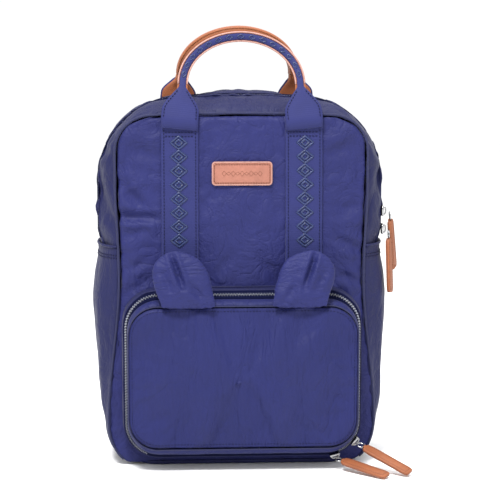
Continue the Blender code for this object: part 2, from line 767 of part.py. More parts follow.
def make_shoulder_straps():
    back = BACK_Y + 9.4 * MM
    pad_route = ((46, 344, 7), (50, 318, 11), (60, 270, 17), (73, 220, 20), (84, 175, 18), (92, 132, 12))
    foam = material("strap_mesh", MESH_GREY, 0.9)
    for side, word in ((1, "right"), (-1, "left")):
        centres = [Vector((side * x * MM, back + d * MM, z * MM)) for x, z, d in pad_route]
        halves = (27, 29, 29, 27, 24, 20)
        sides, fronts = handle_frames(centres, Vector((0, 1, 0)))
        pad = lambda i: rounded(halves[i] * MM, 5 * MM, 10)
        sweep(f"shoulder_pad_{word}", centres, sides, fronts, pad, foam)
        lock_z, lock_y = 117 * MM, back + 10 * MM
        lock = [Vector((side * (95 + 3 * k) * MM, lock_y - k * 2 * MM, lock_z - 22 * k * MM)) for k in (0, 1)]
        sides, fronts = handle_frames(lock, Vector((0, 1, 0)))
        black = material("black_plastic", (0.01, 0.01, 0.012), 0.4)
        sweep(f"ladder_lock_{word}", lock, sides, fronts, lambda i: strip(17 * MM, 4 * MM), black)
        route = ((98, 90, 7), (101, 72, 5), (105, 50, 2.4), (108, 30, 1.0))
        belt = [Vector((side * x * MM, back + d * MM, z * MM)) for x, z, d in route]
        sides, fronts = handle_frames(belt, Vector((0, 1, 0)))
        band = lambda i: strip(12.5 * MM, 1.5 * MM)
        sweep(f"strap_webbing_{word}", belt, sides, fronts, band, webbing())
        tab = [(side * x * MM, z * MM) for x, z in ((92, 12), (118, 20), (121, 46), (108, 48), (90, 30))]
        prism(f"strap_anchor_{word}", tab[::side], back + 0.3 * MM, back + 0.9 * MM, cloth())
    yoke = [(x * MM, z * MM) for x, z in ((-78, 340), (78, 340), (74, 358), (40, 361), (-40, 361), (-74, 358))]
    prism("strap_yoke", yoke, back + 0.3 * MM, back + 1.7 * MM, cloth())


def main():
    clear_scene()
    make_front()
    make_fold()
    make_sides()
    make_rear()
    make_bottom()
    make_main_zip()
    make_sleeve()
    make_label()
    make_front_straps()
    make_handles()
    make_pocket()
    make_ears()
    make_zip_hardware()
    make_shoulder_straps()


main()
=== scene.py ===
import math

import bmesh
import bpy
import numpy as np
from mathutils import Matrix, Vector, noise
from mathutils.bvhtree import BVHTree


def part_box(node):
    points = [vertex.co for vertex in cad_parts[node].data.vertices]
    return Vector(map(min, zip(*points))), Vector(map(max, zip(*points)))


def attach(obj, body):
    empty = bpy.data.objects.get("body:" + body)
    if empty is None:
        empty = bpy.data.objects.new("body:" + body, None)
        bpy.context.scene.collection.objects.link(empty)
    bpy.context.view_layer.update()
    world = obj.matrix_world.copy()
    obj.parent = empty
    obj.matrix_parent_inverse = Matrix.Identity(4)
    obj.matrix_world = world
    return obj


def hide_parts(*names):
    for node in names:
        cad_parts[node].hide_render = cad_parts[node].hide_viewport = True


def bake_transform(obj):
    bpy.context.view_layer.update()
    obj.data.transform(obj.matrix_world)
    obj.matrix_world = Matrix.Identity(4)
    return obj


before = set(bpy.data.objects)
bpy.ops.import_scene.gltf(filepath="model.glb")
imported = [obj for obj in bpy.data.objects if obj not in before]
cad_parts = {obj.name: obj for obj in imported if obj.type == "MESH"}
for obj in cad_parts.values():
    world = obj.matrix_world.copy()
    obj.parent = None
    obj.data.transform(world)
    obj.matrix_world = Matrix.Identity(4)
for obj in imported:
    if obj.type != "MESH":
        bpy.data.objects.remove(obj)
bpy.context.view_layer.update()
noise.seed_set(1)  # noise_vector follows the clock unless it is seeded

MM = 0.001

# Driving dimensions of the bag, the same as the solids'
FRONT_Y, WIDEST_Y, BACK_Y = -48 * MM, 5 * MM, 48 * MM
HALF_WIDTH = 150 * MM
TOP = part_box("rear_gusset")[1].z - 2 * MM
PANEL_TOP = 361 * MM
ZIP_FRONT_Y, ZIP_SPLIT_Y, ZIP_REAR_Y = -21 * MM, -16 * MM, -11 * MM
FOLD_LOW, FOLD_HIGH = 199 * MM, 229 * MM
ZIP_END_Z = 236 * MM
HEM_Z = 232 * MM
SIDE_DENT = 5.5 * MM
STRAP_X, STRAP_WIDTH = 63.5 * MM, 38 * MM
CLOTH = 1.8 * MM
ZIP_PITCH = 2.8 * MM

POCKET_SPLIT_Y = -70.6 * MM
FACE_HALF, FACE_LOW, FACE_HIGH = 117 * MM, 26 * MM, 170.5 * MM
POCKET_MIDDLE_Z = 98 * MM
SEW_FRONT_Y, SEW_REAR_Y = -47.4 * MM, 41.5 * MM  # edges of the side pockets
LABEL_Z = 304.5 * MM
AHEAD_Y = -62 * MM  # in front of the whole front panel
HANDLE_SPAN = 60 * MM
GRIP_HALF = 4.9 * MM
TAN_STEP = 2.6 * MM
LINK_HALF = 4.0 * MM
EAR_LEAN = 7 * MM
FORWARD, ACROSS, UP = Vector((0, 1, 0)), Vector((1, 0, 0)), Vector((0, 0, 1))

# ------------------------------------------------------------------ materials


class Look:
    """A material built from nodes, with short names for the nodes that every cloth and leather needs."""

    def __init__(self, name, colour, roughness, metallic=0.0, sheen=0.0, specular=0.5):
        self.made = bpy.data.materials.new(name)
        self.made.use_nodes = True
        self.tree = self.made.node_tree
        self.shader = self.tree.nodes["Principled BSDF"]
        self.colour = colour
        self.set("Base Color", (*colour, 1))
        self.set("Roughness", roughness)
        self.set("Metallic", metallic)
        self.set("Sheen Weight", sheen)
        self.set("Specular IOR Level", specular)
        self.place = self.add("ShaderNodeTexCoord").outputs["Object"]
        self.height = None

    def set(self, name, value):
        self.shader.inputs[name].default_value = value

    def add(self, kind, **values):
        node = self.tree.nodes.new(kind)
        for name, value in values.items():
            if name in node.inputs:
                node.inputs[name].default_value = value
            else:
                setattr(node, name, value)
        return node

    def link(self, source, target):
        self.tree.links.new(source, target)

    def stretched(self, stretch):
        node = self.add("ShaderNodeMapping")
        node.inputs["Scale"].default_value = stretch
        self.link(self.place, node.inputs["Vector"])
        return node.outputs["Vector"]

    def noise(self, scale, detail=3.0, rough=0.5, stretch=(1, 1, 1), distortion=0.0):
        values = {"Scale": scale, "Detail": detail, "Roughness": rough, "Distortion": distortion}
        node = self.add("ShaderNodeTexNoise", **values)
        self.link(self.stretched(stretch), node.inputs["Vector"])
        return node.outputs["Fac"]

    def folds(self, scale, stretch):
        """Thin creases: the lines where a noise crosses its middle value."""
        level = self.add("ShaderNodeMath", operation="SUBTRACT")
        level.inputs[1].default_value = 0.5
        self.link(self.noise(scale, 3, 0.5, stretch, 1.4), level.inputs[0])
        size = self.add("ShaderNodeMath", operation="ABSOLUTE")
        self.link(level.outputs["Value"], size.inputs[0])
        root = self.add("ShaderNodeMath", operation="POWER")
        root.inputs[1].default_value = 0.6
        self.link(size.outputs["Value"], root.inputs[0])
        return root.outputs["Value"]

    def cells(self, scale):
        node = self.add("ShaderNodeTexVoronoi", Scale=scale, feature="DISTANCE_TO_EDGE")
        self.link(self.place, node.inputs["Vector"])
        return node.outputs["Distance"]

    def uv_bands(self, scale, direction):
        node = self.add("ShaderNodeTexWave", Scale=scale, bands_direction=direction)
        self.link(self.add("ShaderNodeTexCoord").outputs["UV"], node.inputs["Vector"])
        return node.outputs["Fac"]

    def tint(self, value, low, high):
        """Colour that varies between low and high times the base colour as value goes from 0.3 to 0.7."""
        ramp = self.add("ShaderNodeMapRange")
        ramp.inputs["From Min"].default_value, ramp.inputs["From Max"].default_value = 0.3, 0.7
        ramp.inputs["To Min"].default_value, ramp.inputs["To Max"].default_value = low, high
        self.link(value, ramp.inputs["Value"])
        mix = self.add("ShaderNodeVectorMath", operation="SCALE")
        socket = self.shader.inputs["Base Color"]
        if socket.is_linked:
            self.link(socket.links[0].from_socket, mix.inputs[0])
        else:
            mix.inputs[0].default_value = self.colour
        self.link(ramp.outputs["Result"], mix.inputs["Scale"])
        self.link(mix.outputs["Vector"], socket)

    def rough(self, value, low, high):
        ramp = self.add("ShaderNodeMapRange")
        ramp.inputs["To Min"].default_value, ramp.inputs["To Max"].default_value = low, high
        self.link(value, ramp.inputs["Value"])
        self.link(ramp.outputs["Result"], self.shader.inputs["Roughness"])

    def bump(self, value, depth, strength=1.0):
        node = self.add("ShaderNodeBump", Strength=strength, Distance=depth)
        self.link(value, node.inputs["Height"])
        if self.height is not None:
            self.link(self.height, node.inputs["Normal"])
        self.height = node.outputs["Normal"]
        self.link(self.height, self.shader.inputs["Normal"])


def nylon(name, colour, stretch=(1, 1, 1)):
    look = Look(name, colour, 0.62, sheen=0.04, specular=0.22)
    look.set("Sheen Roughness", 0.4)
    look.tint(look.noise(14, 3), 0.93, 1.07)
    look.tint(look.noise(420, 2, stretch=(1, 1, 0.12)), 0.96, 1.04)
    look.tint(look.noise(1500, 1), 0.95, 1.05)
    look.rough(look.noise(35, 3), 0.52, 0.70)
    look.bump(look.folds(30, stretch), 3.2 * MM, 0.7)
    look.bump(look.folds(95, stretch), 1.1 * MM, 0.6)
    look.bump(look.noise(260, 3, 0.6, stretch, 1.2), 0.4 * MM, 0.5)
    look.bump(look.noise(1400, 2), 0.06 * MM, 0.6)
    return look.made


def make_looks():
    looks = {
        "cloth": nylon("navy_nylon", (0.0110, 0.0134, 0.082)),
        # A darker copy of the same nylon for the sides, gussets, bottom and back: painted shade for faces
        # that get less light.
        "shaded_side_cloth": nylon("navy_nylon_sides_painted_shade", (0.0071, 0.0087, 0.050), (1, 1, 0.6)),
        "face_cloth": nylon("navy_nylon_face", (0.0085, 0.0112, 0.074), (1.4, 1.4, 0.45)),
        "ear_cloth": nylon("navy_nylon_ears", (0.0110, 0.0136, 0.083), (0.6, 1, 1.5)),
    }
    for word, colour in (("lining", (0.040, 0.046, 0.130)), ("stiffener", (0.045, 0.045, 0.05))):
        look = Look(word, colour, 0.8, sheen=0.1)
        look.tint(look.noise(300), 0.9, 1.1)
        look.bump(look.noise(900), 0.1 * MM)
        looks[word] = look.made

    look = Look("foam", (0.42, 0.42, 0.40), 0.95)
    look.bump(look.cells(600), 0.5 * MM)
    looks["foam"] = look.made

    look = Look("webbing", (0.0118, 0.0152, 0.092), 0.68, sheen=0.06, specular=0.28)
    look.tint(look.uv_bands(150, "Y"), 0.97, 1.02)
    look.tint(look.noise(60, 3), 0.94, 1.06)
    look.bump(look.uv_bands(150, "Y"), 0.12 * MM, 0.4)
    look.bump(look.uv_bands(420, "X"), 0.12 * MM, 0.4)
    look.bump(look.noise(900), 0.1 * MM, 0.5)
    looks["webbing"] = look.made

    look = Look("satin_thread", (0.0075, 0.018, 0.082), 0.36, sheen=0.05, specular=0.5)
    look.tint(look.noise(700, 2, stretch=(1, 1, 0.2)), 0.75, 1.25)
    look.bump(look.noise(1200, 2, stretch=(1, 1, 0.15)), 0.15 * MM)
    looks["satin"] = look.made

    # Navy thread darkened well below the cloth: painted shade of the stitch holes on top of the thread's own
    # colour.
    look = Look("stitch_thread_painted_shade", (0.0035, 0.0045, 0.028), 0.7, specular=0.2)
    look.tint(look.noise(900), 0.85, 1.15)
    looks["stitch"] = look.made

    # Painted shade for the seam grooves, put on dark tubes laid along the seams.
    look = Look("seam_shadow", (0.009, 0.011, 0.050), 0.85)
    look.tint(look.noise(500), 0.8, 1.2)
    looks["seam"] = look.made

    for word, colour in (("leather", (0.26, 0.084, 0.034)), ("label_leather", (0.30, 0.122, 0.086))):
        look = Look(word, colour, 0.5, specular=0.28)
        look.tint(look.noise(40, 4), 0.90, 1.08)
        look.tint(look.noise(260, 3), 0.92, 1.08)
        look.rough(look.noise(120), 0.40, 0.62)
        look.bump(look.cells(520), 0.16 * MM, 0.5)
        look.bump(look.noise(90, 3), 0.3 * MM, 0.4)
        looks[word] = look.made
    # Edge paint of the leather, lightened with a painted highlight.
    look = Look("leather_edge_paint_and_highlight", (0.36, 0.185, 0.15), 0.5, specular=0.45)
    look.tint(look.noise(300, 3), 0.88, 1.12)
    look.bump(look.noise(700), 0.12 * MM)
    looks["edge"] = look.made
    look = Look("leather_thread", (0.15, 0.045, 0.022), 0.6)
    look.tint(look.noise(900), 0.8, 1.2)
    looks["tan_stitch"] = look.made

    look = Look("nickel", (0.34, 0.34, 0.345), 0.2, metallic=1.0)
    look.rough(look.noise(200), 0.14, 0.32)
    look.bump(look.noise(500), 0.02 * MM)
    looks["metal"] = look.made

    look = Look("zip_tape", (0.0030, 0.0042, 0.022), 0.85, specular=0.05)
    look.tint(look.noise(900), 0.85, 1.15)
    look.bump(look.noise(1200, 1, stretch=(0.3, 1, 0.3)), 0.12 * MM)
    looks["tape"] = look.made
    look = Look("zip_coil", (0.20, 0.21, 0.25), 0.32, specular=0.6)
    look.tint(look.noise(400), 0.8, 1.2)
    looks["coil"] = look.made

    look = Look("spacer_mesh", (0.040, 0.046, 0.120), 0.9, sheen=0.2)
    look.tint(look.cells(320), 0.72, 1.1)
    look.bump(look.cells(320), 0.5 * MM, 0.9)
    look.bump(look.noise(60, 3), 0.5 * MM, 0.4)
    looks["mesh"] = look.made

    look = Look("moulded_plastic", (0.012, 0.013, 0.022), 0.36)
    look.rough(look.noise(300), 0.30, 0.45)
    look.bump(look.noise(1500), 0.03 * MM)
    looks["plastic"] = look.made
    return looks


LOOKS = make_looks()

# ------------------------------------------------------------------ making meshes


def smooth(low, high, x):
    t = min(max((x - low) / (high - low), 0.0), 1.0)
    return t * t * (3 - 2 * t)


def spread(low, high, count):
    return [low + (high - low) * k / (count - 1) for k in range(count)]


def mm(x, y, z):
    return Vector((x * MM, y * MM, z * MM))


def bell(away, width):
    return math.exp(-((away / width) ** 2))


def strip_faces(rows, columns, ring=True, closed=False, first=0):
    """Quads between rows of points. ring joins each row's ends, closed joins the last row to the first."""
    faces = []
    for r in range(rows if closed else rows - 1):
        low, high = first + r * columns, first + (r + 1) % rows * columns
        for c in range(columns if ring else columns - 1):
            n = (c + 1) % columns
            faces.append((low + c, low + n, high + n, high + c))
    return faces


def end_faces(rows, columns, first=0):
    last = first + (rows - 1) * columns
    return [tuple(reversed(range(first, first + columns))), tuple(range(last, last + columns))]


def mesh_object(name, points, faces, look, uvs=None):
    bm = bmesh.new()
    corners = [bm.verts.new(p) for p in points]
    layer = bm.loops.layers.uv.new("weave") if uvs else None
    for face in faces:
        made = bm.faces.new([corners[i] for i in face])
        if uvs:
            for loop, i in zip(made.loops, face):
                loop[layer].uv = uvs[i]
    mesh = bpy.data.meshes.new(name)
    bm.to_mesh(mesh)
    bm.free()
    mesh.materials.append(LOOKS[look])
    mesh.shade_smooth()
    obj = bpy.data.objects.new(name, mesh)
    bpy.context.scene.collection.objects.link(obj)
    return obj


def grid_object(name, grid, look, ring=False):
    """An open sheet over rows of points, with UVs in metres along its rows and columns."""
    rows, columns = len(grid), len(grid[0])
    uvs = []
    for r in range(rows):
        u = 0.0
        v = sum((grid[k + 1][columns // 2] - grid[k][columns // 2]).length for k in range(r))
        for c in range(columns):
            u += (grid[r][c] - grid[r][c - 1]).length if c else 0.0
            uvs.append((u, v))
    return mesh_object(name, [p for row in grid for p in row], strip_faces(rows, columns, ring), look, uvs)


def lofted(name, rings, look, closed=False, uvs=None):
    """A solid through rings of points, with flat ends, or closed on itself."""
    rows, columns = len(rings), len(rings[0])
    faces = strip_faces(rows, columns, closed=closed)
    if not closed:
        faces += end_faces(rows, columns)
    obj = mesh_object(name, [p for ring in rings for p in ring], faces, look, uvs)
    outward(obj)
    return obj


def sweep(name, centres, sides, fronts, section, look):
    """A solid swept along centres; section(i) lists (across, out) pairs there."""
    rings, uvs, along = [], [], 0.0
    for i, (centre, side, front) in enumerate(zip(centres, sides, fronts)):
        pairs = section(i)
        along += (centre - centres[i - 1]).length if i else 0.0
        rings.append([centre + side * a + front * b for a, b in pairs])
        uvs += [(a, along) for a, _ in pairs]
    return lofted(name, rings, look, uvs=uvs)


def outward(obj):
    bm = bmesh.new()
    bm.from_mesh(obj.data)
    bmesh.ops.recalc_face_normals(bm, faces=bm.faces)
    bm.to_mesh(obj.data)
    bm.free()


def squared_round(half, deep, wide_power, deep_power, count):
    """Section of a pad: an oval with squarer corners the lower the powers are."""
    pairs = []
    for k in range(count):
        c, d = math.cos(math.tau * k / count), math.sin(math.tau * k / count)
        across = math.copysign(abs(c) ** wide_power, c)
        pairs.append((half * across, deep * math.copysign(abs(d) ** deep_power, d)))
    return pairs


def path_frames(centres, lean):
    sides, fronts = [], []
    last = len(centres) - 1
    for i in range(len(centres)):
        along = (centres[min(i + 1, last)] - centres[max(i - 1, 0)]).normalized()
        side = along.cross(lean).normalized()
        sides.append(side)
        fronts.append(side.cross(along).normalized())
    return sides, fronts


def tube(name, centres, radius, look, closed=False, sides_count=8, lean=FORWARD):
    """A round tube along centres, closed on itself or with flat ends."""
    rings = []
    count = len(centres)
    turns = [math.tau * k / sides_count for k in range(sides_count)]
    for i, centre in enumerate(centres):
        before = centres[i - 1] if closed or i else centre
        after = centres[(i + 1) % count] if closed or i < count - 1 else centre
        along = (after - before).normalized()
        side = along.cross(lean).normalized()
        front = side.cross(along)
        rings.append([centre + (side * math.cos(t) + front * math.sin(t)) * radius for t in turns])
    return lofted(name, rings, look, closed)


def flat_section(half, low, high):
    """Section of a flat band, for sweep."""
    return lambda i: [(-half, low), (half, low), (half, high), (-half, high)]


def coordinates(obj):
    found = np.empty(len(obj.data.vertices) * 3, np.float32)
    obj.data.vertices.foreach_get("co", found)
    return found.reshape(-1, 3)


def freeze(obj):
    """Applies every modifier to the mesh."""
    graph = bpy.context.evaluated_depsgraph_get()
    made = bpy.data.meshes.new_from_object(obj.evaluated_get(graph))
    obj.modifiers.clear()
    obj.data = made
    made.shade_smooth()
    return obj


def thicken(obj, thickness, levels=0, offset=-1.0):
    if levels:
        sub = obj.modifiers.new("finer", "SUBSURF")
        sub.levels = sub.render_levels = levels
    solid = obj.modifiers.new("cloth", "SOLIDIFY")
    solid.thickness = thickness
    solid.offset = offset
    return freeze(obj)


def puff(obj, pinned, pressure, grow, cap):
    """Blows sewn cloth up against its pinned seams. grow is how much longer it is than its outline."""
    group = obj.vertex_groups.new(name="pin")
    group.add([int(i) for i in pinned], 1.0, "REPLACE")
    rest = coordinates(obj).copy()
    frames = 16
    cloth = obj.modifiers.new("cloth_simulation", "CLOTH")
    settings = cloth.settings
    settings.quality = 5
    settings.mass = 0.1
    settings.tension_stiffness = settings.compression_stiffness = 20
    settings.shear_stiffness = 8
    settings.bending_stiffness = 0.2
    settings.shrink_min = -grow
    settings.use_pressure = True
    settings.uniform_pressure_force = pressure
    settings.vertex_group_mass = "pin"
    settings.effector_weights.gravity = 0
    cloth.point_cache.frame_start, cloth.point_cache.frame_end = 1, frames
    scene = bpy.context.scene
    for number in range(1, frames + 1):
        scene.frame_set(number)
    graph = bpy.context.evaluated_depsgraph_get()
    blown = coordinates(obj.evaluated_get(graph)).copy()
    obj.modifiers.remove(cloth)
    scene.frame_set(1)
    moved = blown - rest
    length = np.linalg.norm(moved, axis=1, keepdims=True)
    limited = cap * np.tanh(length / cap)
    moved *= limited / np.maximum(length, 1e-9)
    obj.data.vertices.foreach_set("co", (rest + moved).astype(np.float32).ravel())
    obj.data.update()
    obj.vertex_groups.clear()
    return obj


def displace(obj, height):
    """Moves each point along its normal by height(point)."""
    mesh = obj.data
    normals = [v.normal.copy() for v in mesh.vertices]
    for vertex, normal in zip(mesh.vertices, normals):
        vertex.co += normal * height(vertex.co.copy())
    mesh.update()
    return obj


def wrinkle(p, scale, stretch=(1, 1, 1)):
    """Soft folds from 0 to about 1, sharper at their valleys."""
    q = Vector((p.x * stretch[0], p.y * stretch[1], p.z * stretch[2])) * scale
    q += noise.noise_vector(q * 0.7) * 0.5
    finer = Vector((q.z, q.x, q.y)) * 2.1 + Vector((7.3, 7.3, 7.3))
    return abs(noise.noise(q)) + 0.55 * abs(noise.noise(finer)) + 0.28 * abs(noise.noise(finer * 2.3))


def crease(p, start, end, width, depth):
    """A pressed-in line between two (x, z) points, with a raised lip on each side."""
    a, b, q = Vector(start), Vector(end), Vector((p.x, p.z))
    share = max(0.0, min(1.0, (q - a).dot(b - a) / (b - a).length_squared))
    away = (q - (a + (b - a) * share)).length / width
    fade = math.sin(math.pi * min(max(share, 0.04), 0.96)) ** 0.5
    return 1.6 * depth * fade * (0.45 * bell(away - 1.8, 1) - bell(away, 1))


def creases(p, rows):
    return sum(crease(p, start, end, width * MM, depth * MM) for start, end, width, depth in rows)


def finish(obj, body, slot, replaces=(), blend=None):
    """Rides the piece on its body, or leaves it where it is, and hides the parts that it replaces."""
    if blend:
        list(blend)
        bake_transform(obj)
    else:
        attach(obj, body)
    if replaces:
        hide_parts(*replaces)
    return obj


FOLD = ("bag", "front_cover", (0, -0.054, FOLD_LOW + 1 * MM), (0, -0.054, FOLD_HIGH))

# ------------------------------------------------------------------ the bag's outlines


class Outline:
    """Half of an upright outline, from low on the side up to the top centre."""

    def __init__(self, low_half, mid_half, high_half, top, corner, dome, dent=0.0):
        self.low_half, self.mid_half, self.high_half = low_half, mid_half, high_half
        self.top, self.corner, self.dome, self.dent = top, corner, dome, dent
        self.foot, self.foot_run = 45 * MM, 30 * MM

    def half(self, z):
        dented = self.dent * (1 - smooth(216 * MM, 248 * MM, z))
        low = self.low_half - dented
        if z < self.foot:
            drop = (self.foot - z) / self.foot
            return low - self.foot_run * (1 - math.sqrt(max(1 - drop * drop, 0)))
        if z < 200 * MM:
            return low + (self.mid_half - self.low_half) * smooth(self.foot, 200 * MM, z)
        return self.mid_half - dented + (self.high_half - self.mid_half) * smooth(200 * MM, 300 * MM, z)

    def cornered_half(self, z):
        """half() that also follows the round top corner."""
        start = self.top - self.corner
        if z <= start:
            return self.half(z)
        rise = min(z - start, self.corner)
        return self.half(start) - self.corner + math.sqrt(max(self.corner**2 - rise**2, 0))

    def side(self, low, high, steps):
        heights = [low + (high - low) * (k / steps) ** 1.3 for k in range(steps + 1)]
        return [(self.half(z), z) for z in heights]

    def arch(self, low, side_steps=46, corner_steps=20, top_steps=16):
        start = self.top - self.corner
        right = self.side(low, start, side_steps)[:-1]
        inner = self.half(start) - self.corner
        for k in range(corner_steps + 1):
            a = math.pi / 2 * k / corner_steps
            right.append((inner + self.corner * math.cos(a), start + self.corner * math.sin(a)))
        for k in range(1, top_steps + 1):
            x = inner * (1 - k / top_steps)
            right.append((x, self.top + self.dome * (1 - (x / inner) ** 2)))
        return right + [(-x, z) for x, z in reversed(right[:-1])]


FRONT = Outline(139 * MM, 124 * MM, 127 * MM, PANEL_TOP, 30 * MM, 2 * MM)
FULLEST = (141 * MM, HALF_WIDTH, HALF_WIDTH, TOP, 93 * MM, 2 * MM)
WIDEST = Outline(*FULLEST, dent=SIDE_DENT)
POCKET_SIDE = Outline(*FULLEST)
BACK = Outline(136 * MM, 138 * MM, 138 * MM, 371 * MM, 70 * MM, 2 * MM)


def fullness(y):
    reach = (WIDEST_Y - FRONT_Y) if y < WIDEST_Y else (BACK_Y - WIDEST_Y)
    away = min(abs(y - WIDEST_Y) / reach, 1.0)
    return math.sqrt(1 - away * away)


def seam(y):
    return FRONT if y < WIDEST_Y else BACK


def between(y, first, second):
    share = fullness(y)
    x = first[0] + (second[0] - first[0]) * share
    return Vector((x, y, first[1] + (second[1] - first[1]) * share))


def arch_line(y, low):
    """The bag's outline at a depth, from low on one side over the top to low on the other."""
    return [between(y, near, far) for near, far in zip(seam(y).arch(low), WIDEST.arch(low))]


def arch_grid(y_rear, y_front, rows, low):
    shares = [0.5 - 0.5 * math.cos(math.pi * k / (rows - 1)) for k in range(rows)]
    return [arch_line(y_rear + (y_front - y_rear) * share, low) for share in shares]


def side_x(y, z, widest=None):
    """Half the bag's width at a depth and height."""
    return between(y, (seam(y).half(z), z), ((widest or WIDEST).half(z), z)).x


def front_y(x, z):
    across = 1 - (x / FRONT.cornered_half(z)) ** 2
    along = 4 * (z / FRONT.top) * (1 - z / FRONT.top)
    return FRONT_Y - 6 * MM * max(across, 0) ** 0.7 * max(along, 0) ** 0.6


# ------------------------------------------------------------------ camera, light and floor


def make_stage():
    scene = bpy.context.scene
    scene.view_settings.view_transform = "Standard"
    camera = bpy.data.cameras.new("photo_camera")
    camera.lens, camera.sensor_width = 122.1, 36
    camera.shift_x, camera.shift_y = 0.0214, 0.0496
    obj = bpy.data.objects.new("photo_camera", camera)
    obj.location = (-0.0933, -1.7796, 0.443)
    obj.rotation_euler = (math.radians(82), 0, math.radians(-3))
    scene.collection.objects.link(obj)
    scene.camera = obj

    world = bpy.data.worlds.new("white_studio")
    world.use_nodes = True
    world.node_tree.nodes["Background"].inputs["Color"].default_value = (1, 1, 1, 1)
    world.node_tree.nodes["Background"].inputs["Strength"].default_value = 1.03
    scene.world = world
    lights = (
        ("key", (-0.45, -1.15, 2.1), 0.6, 72),
        ("fill", (1.3, -1.6, 0.7), 1.2, 5),
        ("top", (0.3, 0.3, 1.9), 0.8, 14),
    )
    for name, place, size, power in lights:
        light = bpy.data.lights.new(name, "AREA")
        light.size, light.energy = size, power
        lamp = bpy.data.objects.new(name, light)
        lamp.location = place
        lamp.rotation_euler = (Vector((0, 0, 0.2)) - Vector(place)).to_track_quat("-Z", "Y").to_euler()
        scene.collection.objects.link(lamp)

    look = Look("studio_floor", (0.97, 0.97, 0.97), 0.9)
    look.tint(look.noise(3), 0.995, 1.005)
    LOOKS["floor"] = look.made
    corners = [Vector((x, y, -0.4 * MM)) for x, y in ((-4, -3), (4, -3), (4, 5), (-4, 5))]
    floor = mesh_object("studio_floor", corners, [(0, 1, 2, 3)], "floor")


# ------------------------------------------------------------------ surface helpers


class Surface:
    """A finished piece that others are laid on."""

    def __init__(self, obj):
        bm = bmesh.new()
        bm.from_mesh(obj.data)
        self.tree = BVHTree.FromBMesh(bm)
        bm.free()

    def along(self, point, direction):
        """Where a line along direction through point first meets the piece, and its normal there."""
        reach = 0.04
        start = point - direction * reach
        hit, normal, _, _ = self.tree.ray_cast(start, direction, 2 * reach)
        if hit is None:
            return point, -direction
        return hit, (normal if normal.dot(direction) < 0 else -normal)


def paces(path, step):
    """Every step along a path: the segment's number, how much of it has been passed, and its direction."""
    travelled, target = 0.0, step / 2
    for i in range(len(path) - 1):
        span = (path[i + 1] - path[i]).length
        while span > 0 and target <= travelled + span:
            yield i, (target - travelled) / span, (path[i + 1] - path[i]).normalized()
            target += step
        travelled += span


THREAD = ((-0.5, -0.5), (-0.28, 0.55), (0.28, 0.55), (0.5, -0.5))  # along and out, in lengths and radii


def stitches(name, path, normals, body, slot, look="stitch", step=3.3 * MM, length=2.0 * MM, radius=0.45 * MM,
             blend=None):
    """A row of short threads along a path, one piece."""
    points, faces = [], []
    rows, around = len(THREAD), 6
    for i, share, along in paces(path, step):
        normal = normals[i].lerp(normals[i + 1], share).normalized()
        side = along.cross(normal).normalized()
        centre = path[i].lerp(path[i + 1], share) + normal * radius * 0.5
        faces += strip_faces(rows, around, first=len(points)) + end_faces(rows, around, len(points))
        for end, rise in THREAD:
            middle = centre + along * length * end + normal * radius * rise
            for k in range(around):
                t = math.tau * k / around
                points.append(middle + (side * math.cos(t) + normal * math.sin(t)) * radius * 0.85)
    obj = mesh_object(name, points, faces, look)
    outward(obj)
    return finish(obj, body, slot, blend=blend)


def laid(surface, points, direction, lift):
    """Points dropped on a surface along direction, raised by lift, with the normals there."""
    placed, normals = [], []
    for p in points:
        hit, normal = surface.along(p, direction)
        placed.append(hit + normal * lift)
        normals.append(normal)
    return placed, normals


def sewn_row(name, surface, line, direction, body, slot, **more):
    """Stitches laid on a surface."""
    placed, normals = laid(surface, line, direction, 0.05 * MM)
    stitches(name, placed, normals, body, slot, **more)


# ------------------------------------------------------------------ front panel and gussets


def seam_pucker(distance, along, size=1.0):
    """Small gathers beside a seam, fading away from it."""
    wave = math.sin(along * 720 + 2.5 * noise.noise(Vector((along * 60, 3.7, 0))))
    strength = 0.35 + noise.noise(Vector((along * 35, 0, 9)))
    return size * 1.1 * MM * wave * math.exp(-distance / (12 * MM)) * strength


PANEL_CREASES = (
    ((-0.128, 0.262), (-0.084, 0.258), 4.2, 5.0),
    ((-0.126, 0.296), (-0.098, 0.266), 5.0, 2.6),
    ((-0.122, 0.238), (-0.098, 0.249), 3.6, 1.2),
    ((-0.120, 0.204), (-0.094, 0.219), 4.0, 1.5),
    ((0.126, 0.224), (0.094, 0.238), 4.6, 2.8),
    ((0.122, 0.275), (0.100, 0.262), 5.0, 1.0),
    ((-0.118, 0.335), (-0.092, 0.318), 5.5, 1.1),
    ((0.118, 0.338), (0.094, 0.322), 5.5, 1.0),
    ((-0.030, 0.196), (-0.012, 0.222), 5.0, 0.9),
    ((0.034, 0.192), (0.018, 0.224), 5.0, 1.0),
    ((-0.040, 0.345), (-0.034, 0.270), 7.0, 1.2),
    ((0.041, 0.345), (0.036, 0.262), 7.0, 1.2),
    ((-0.120, 0.180), (-0.096, 0.196), 4.0, 1.6),
    ((0.121, 0.190), (0.098, 0.203), 4.0, 1.6),
    ((0.034, 0.288), (0.012, 0.268), 5.0, 0.8),
)


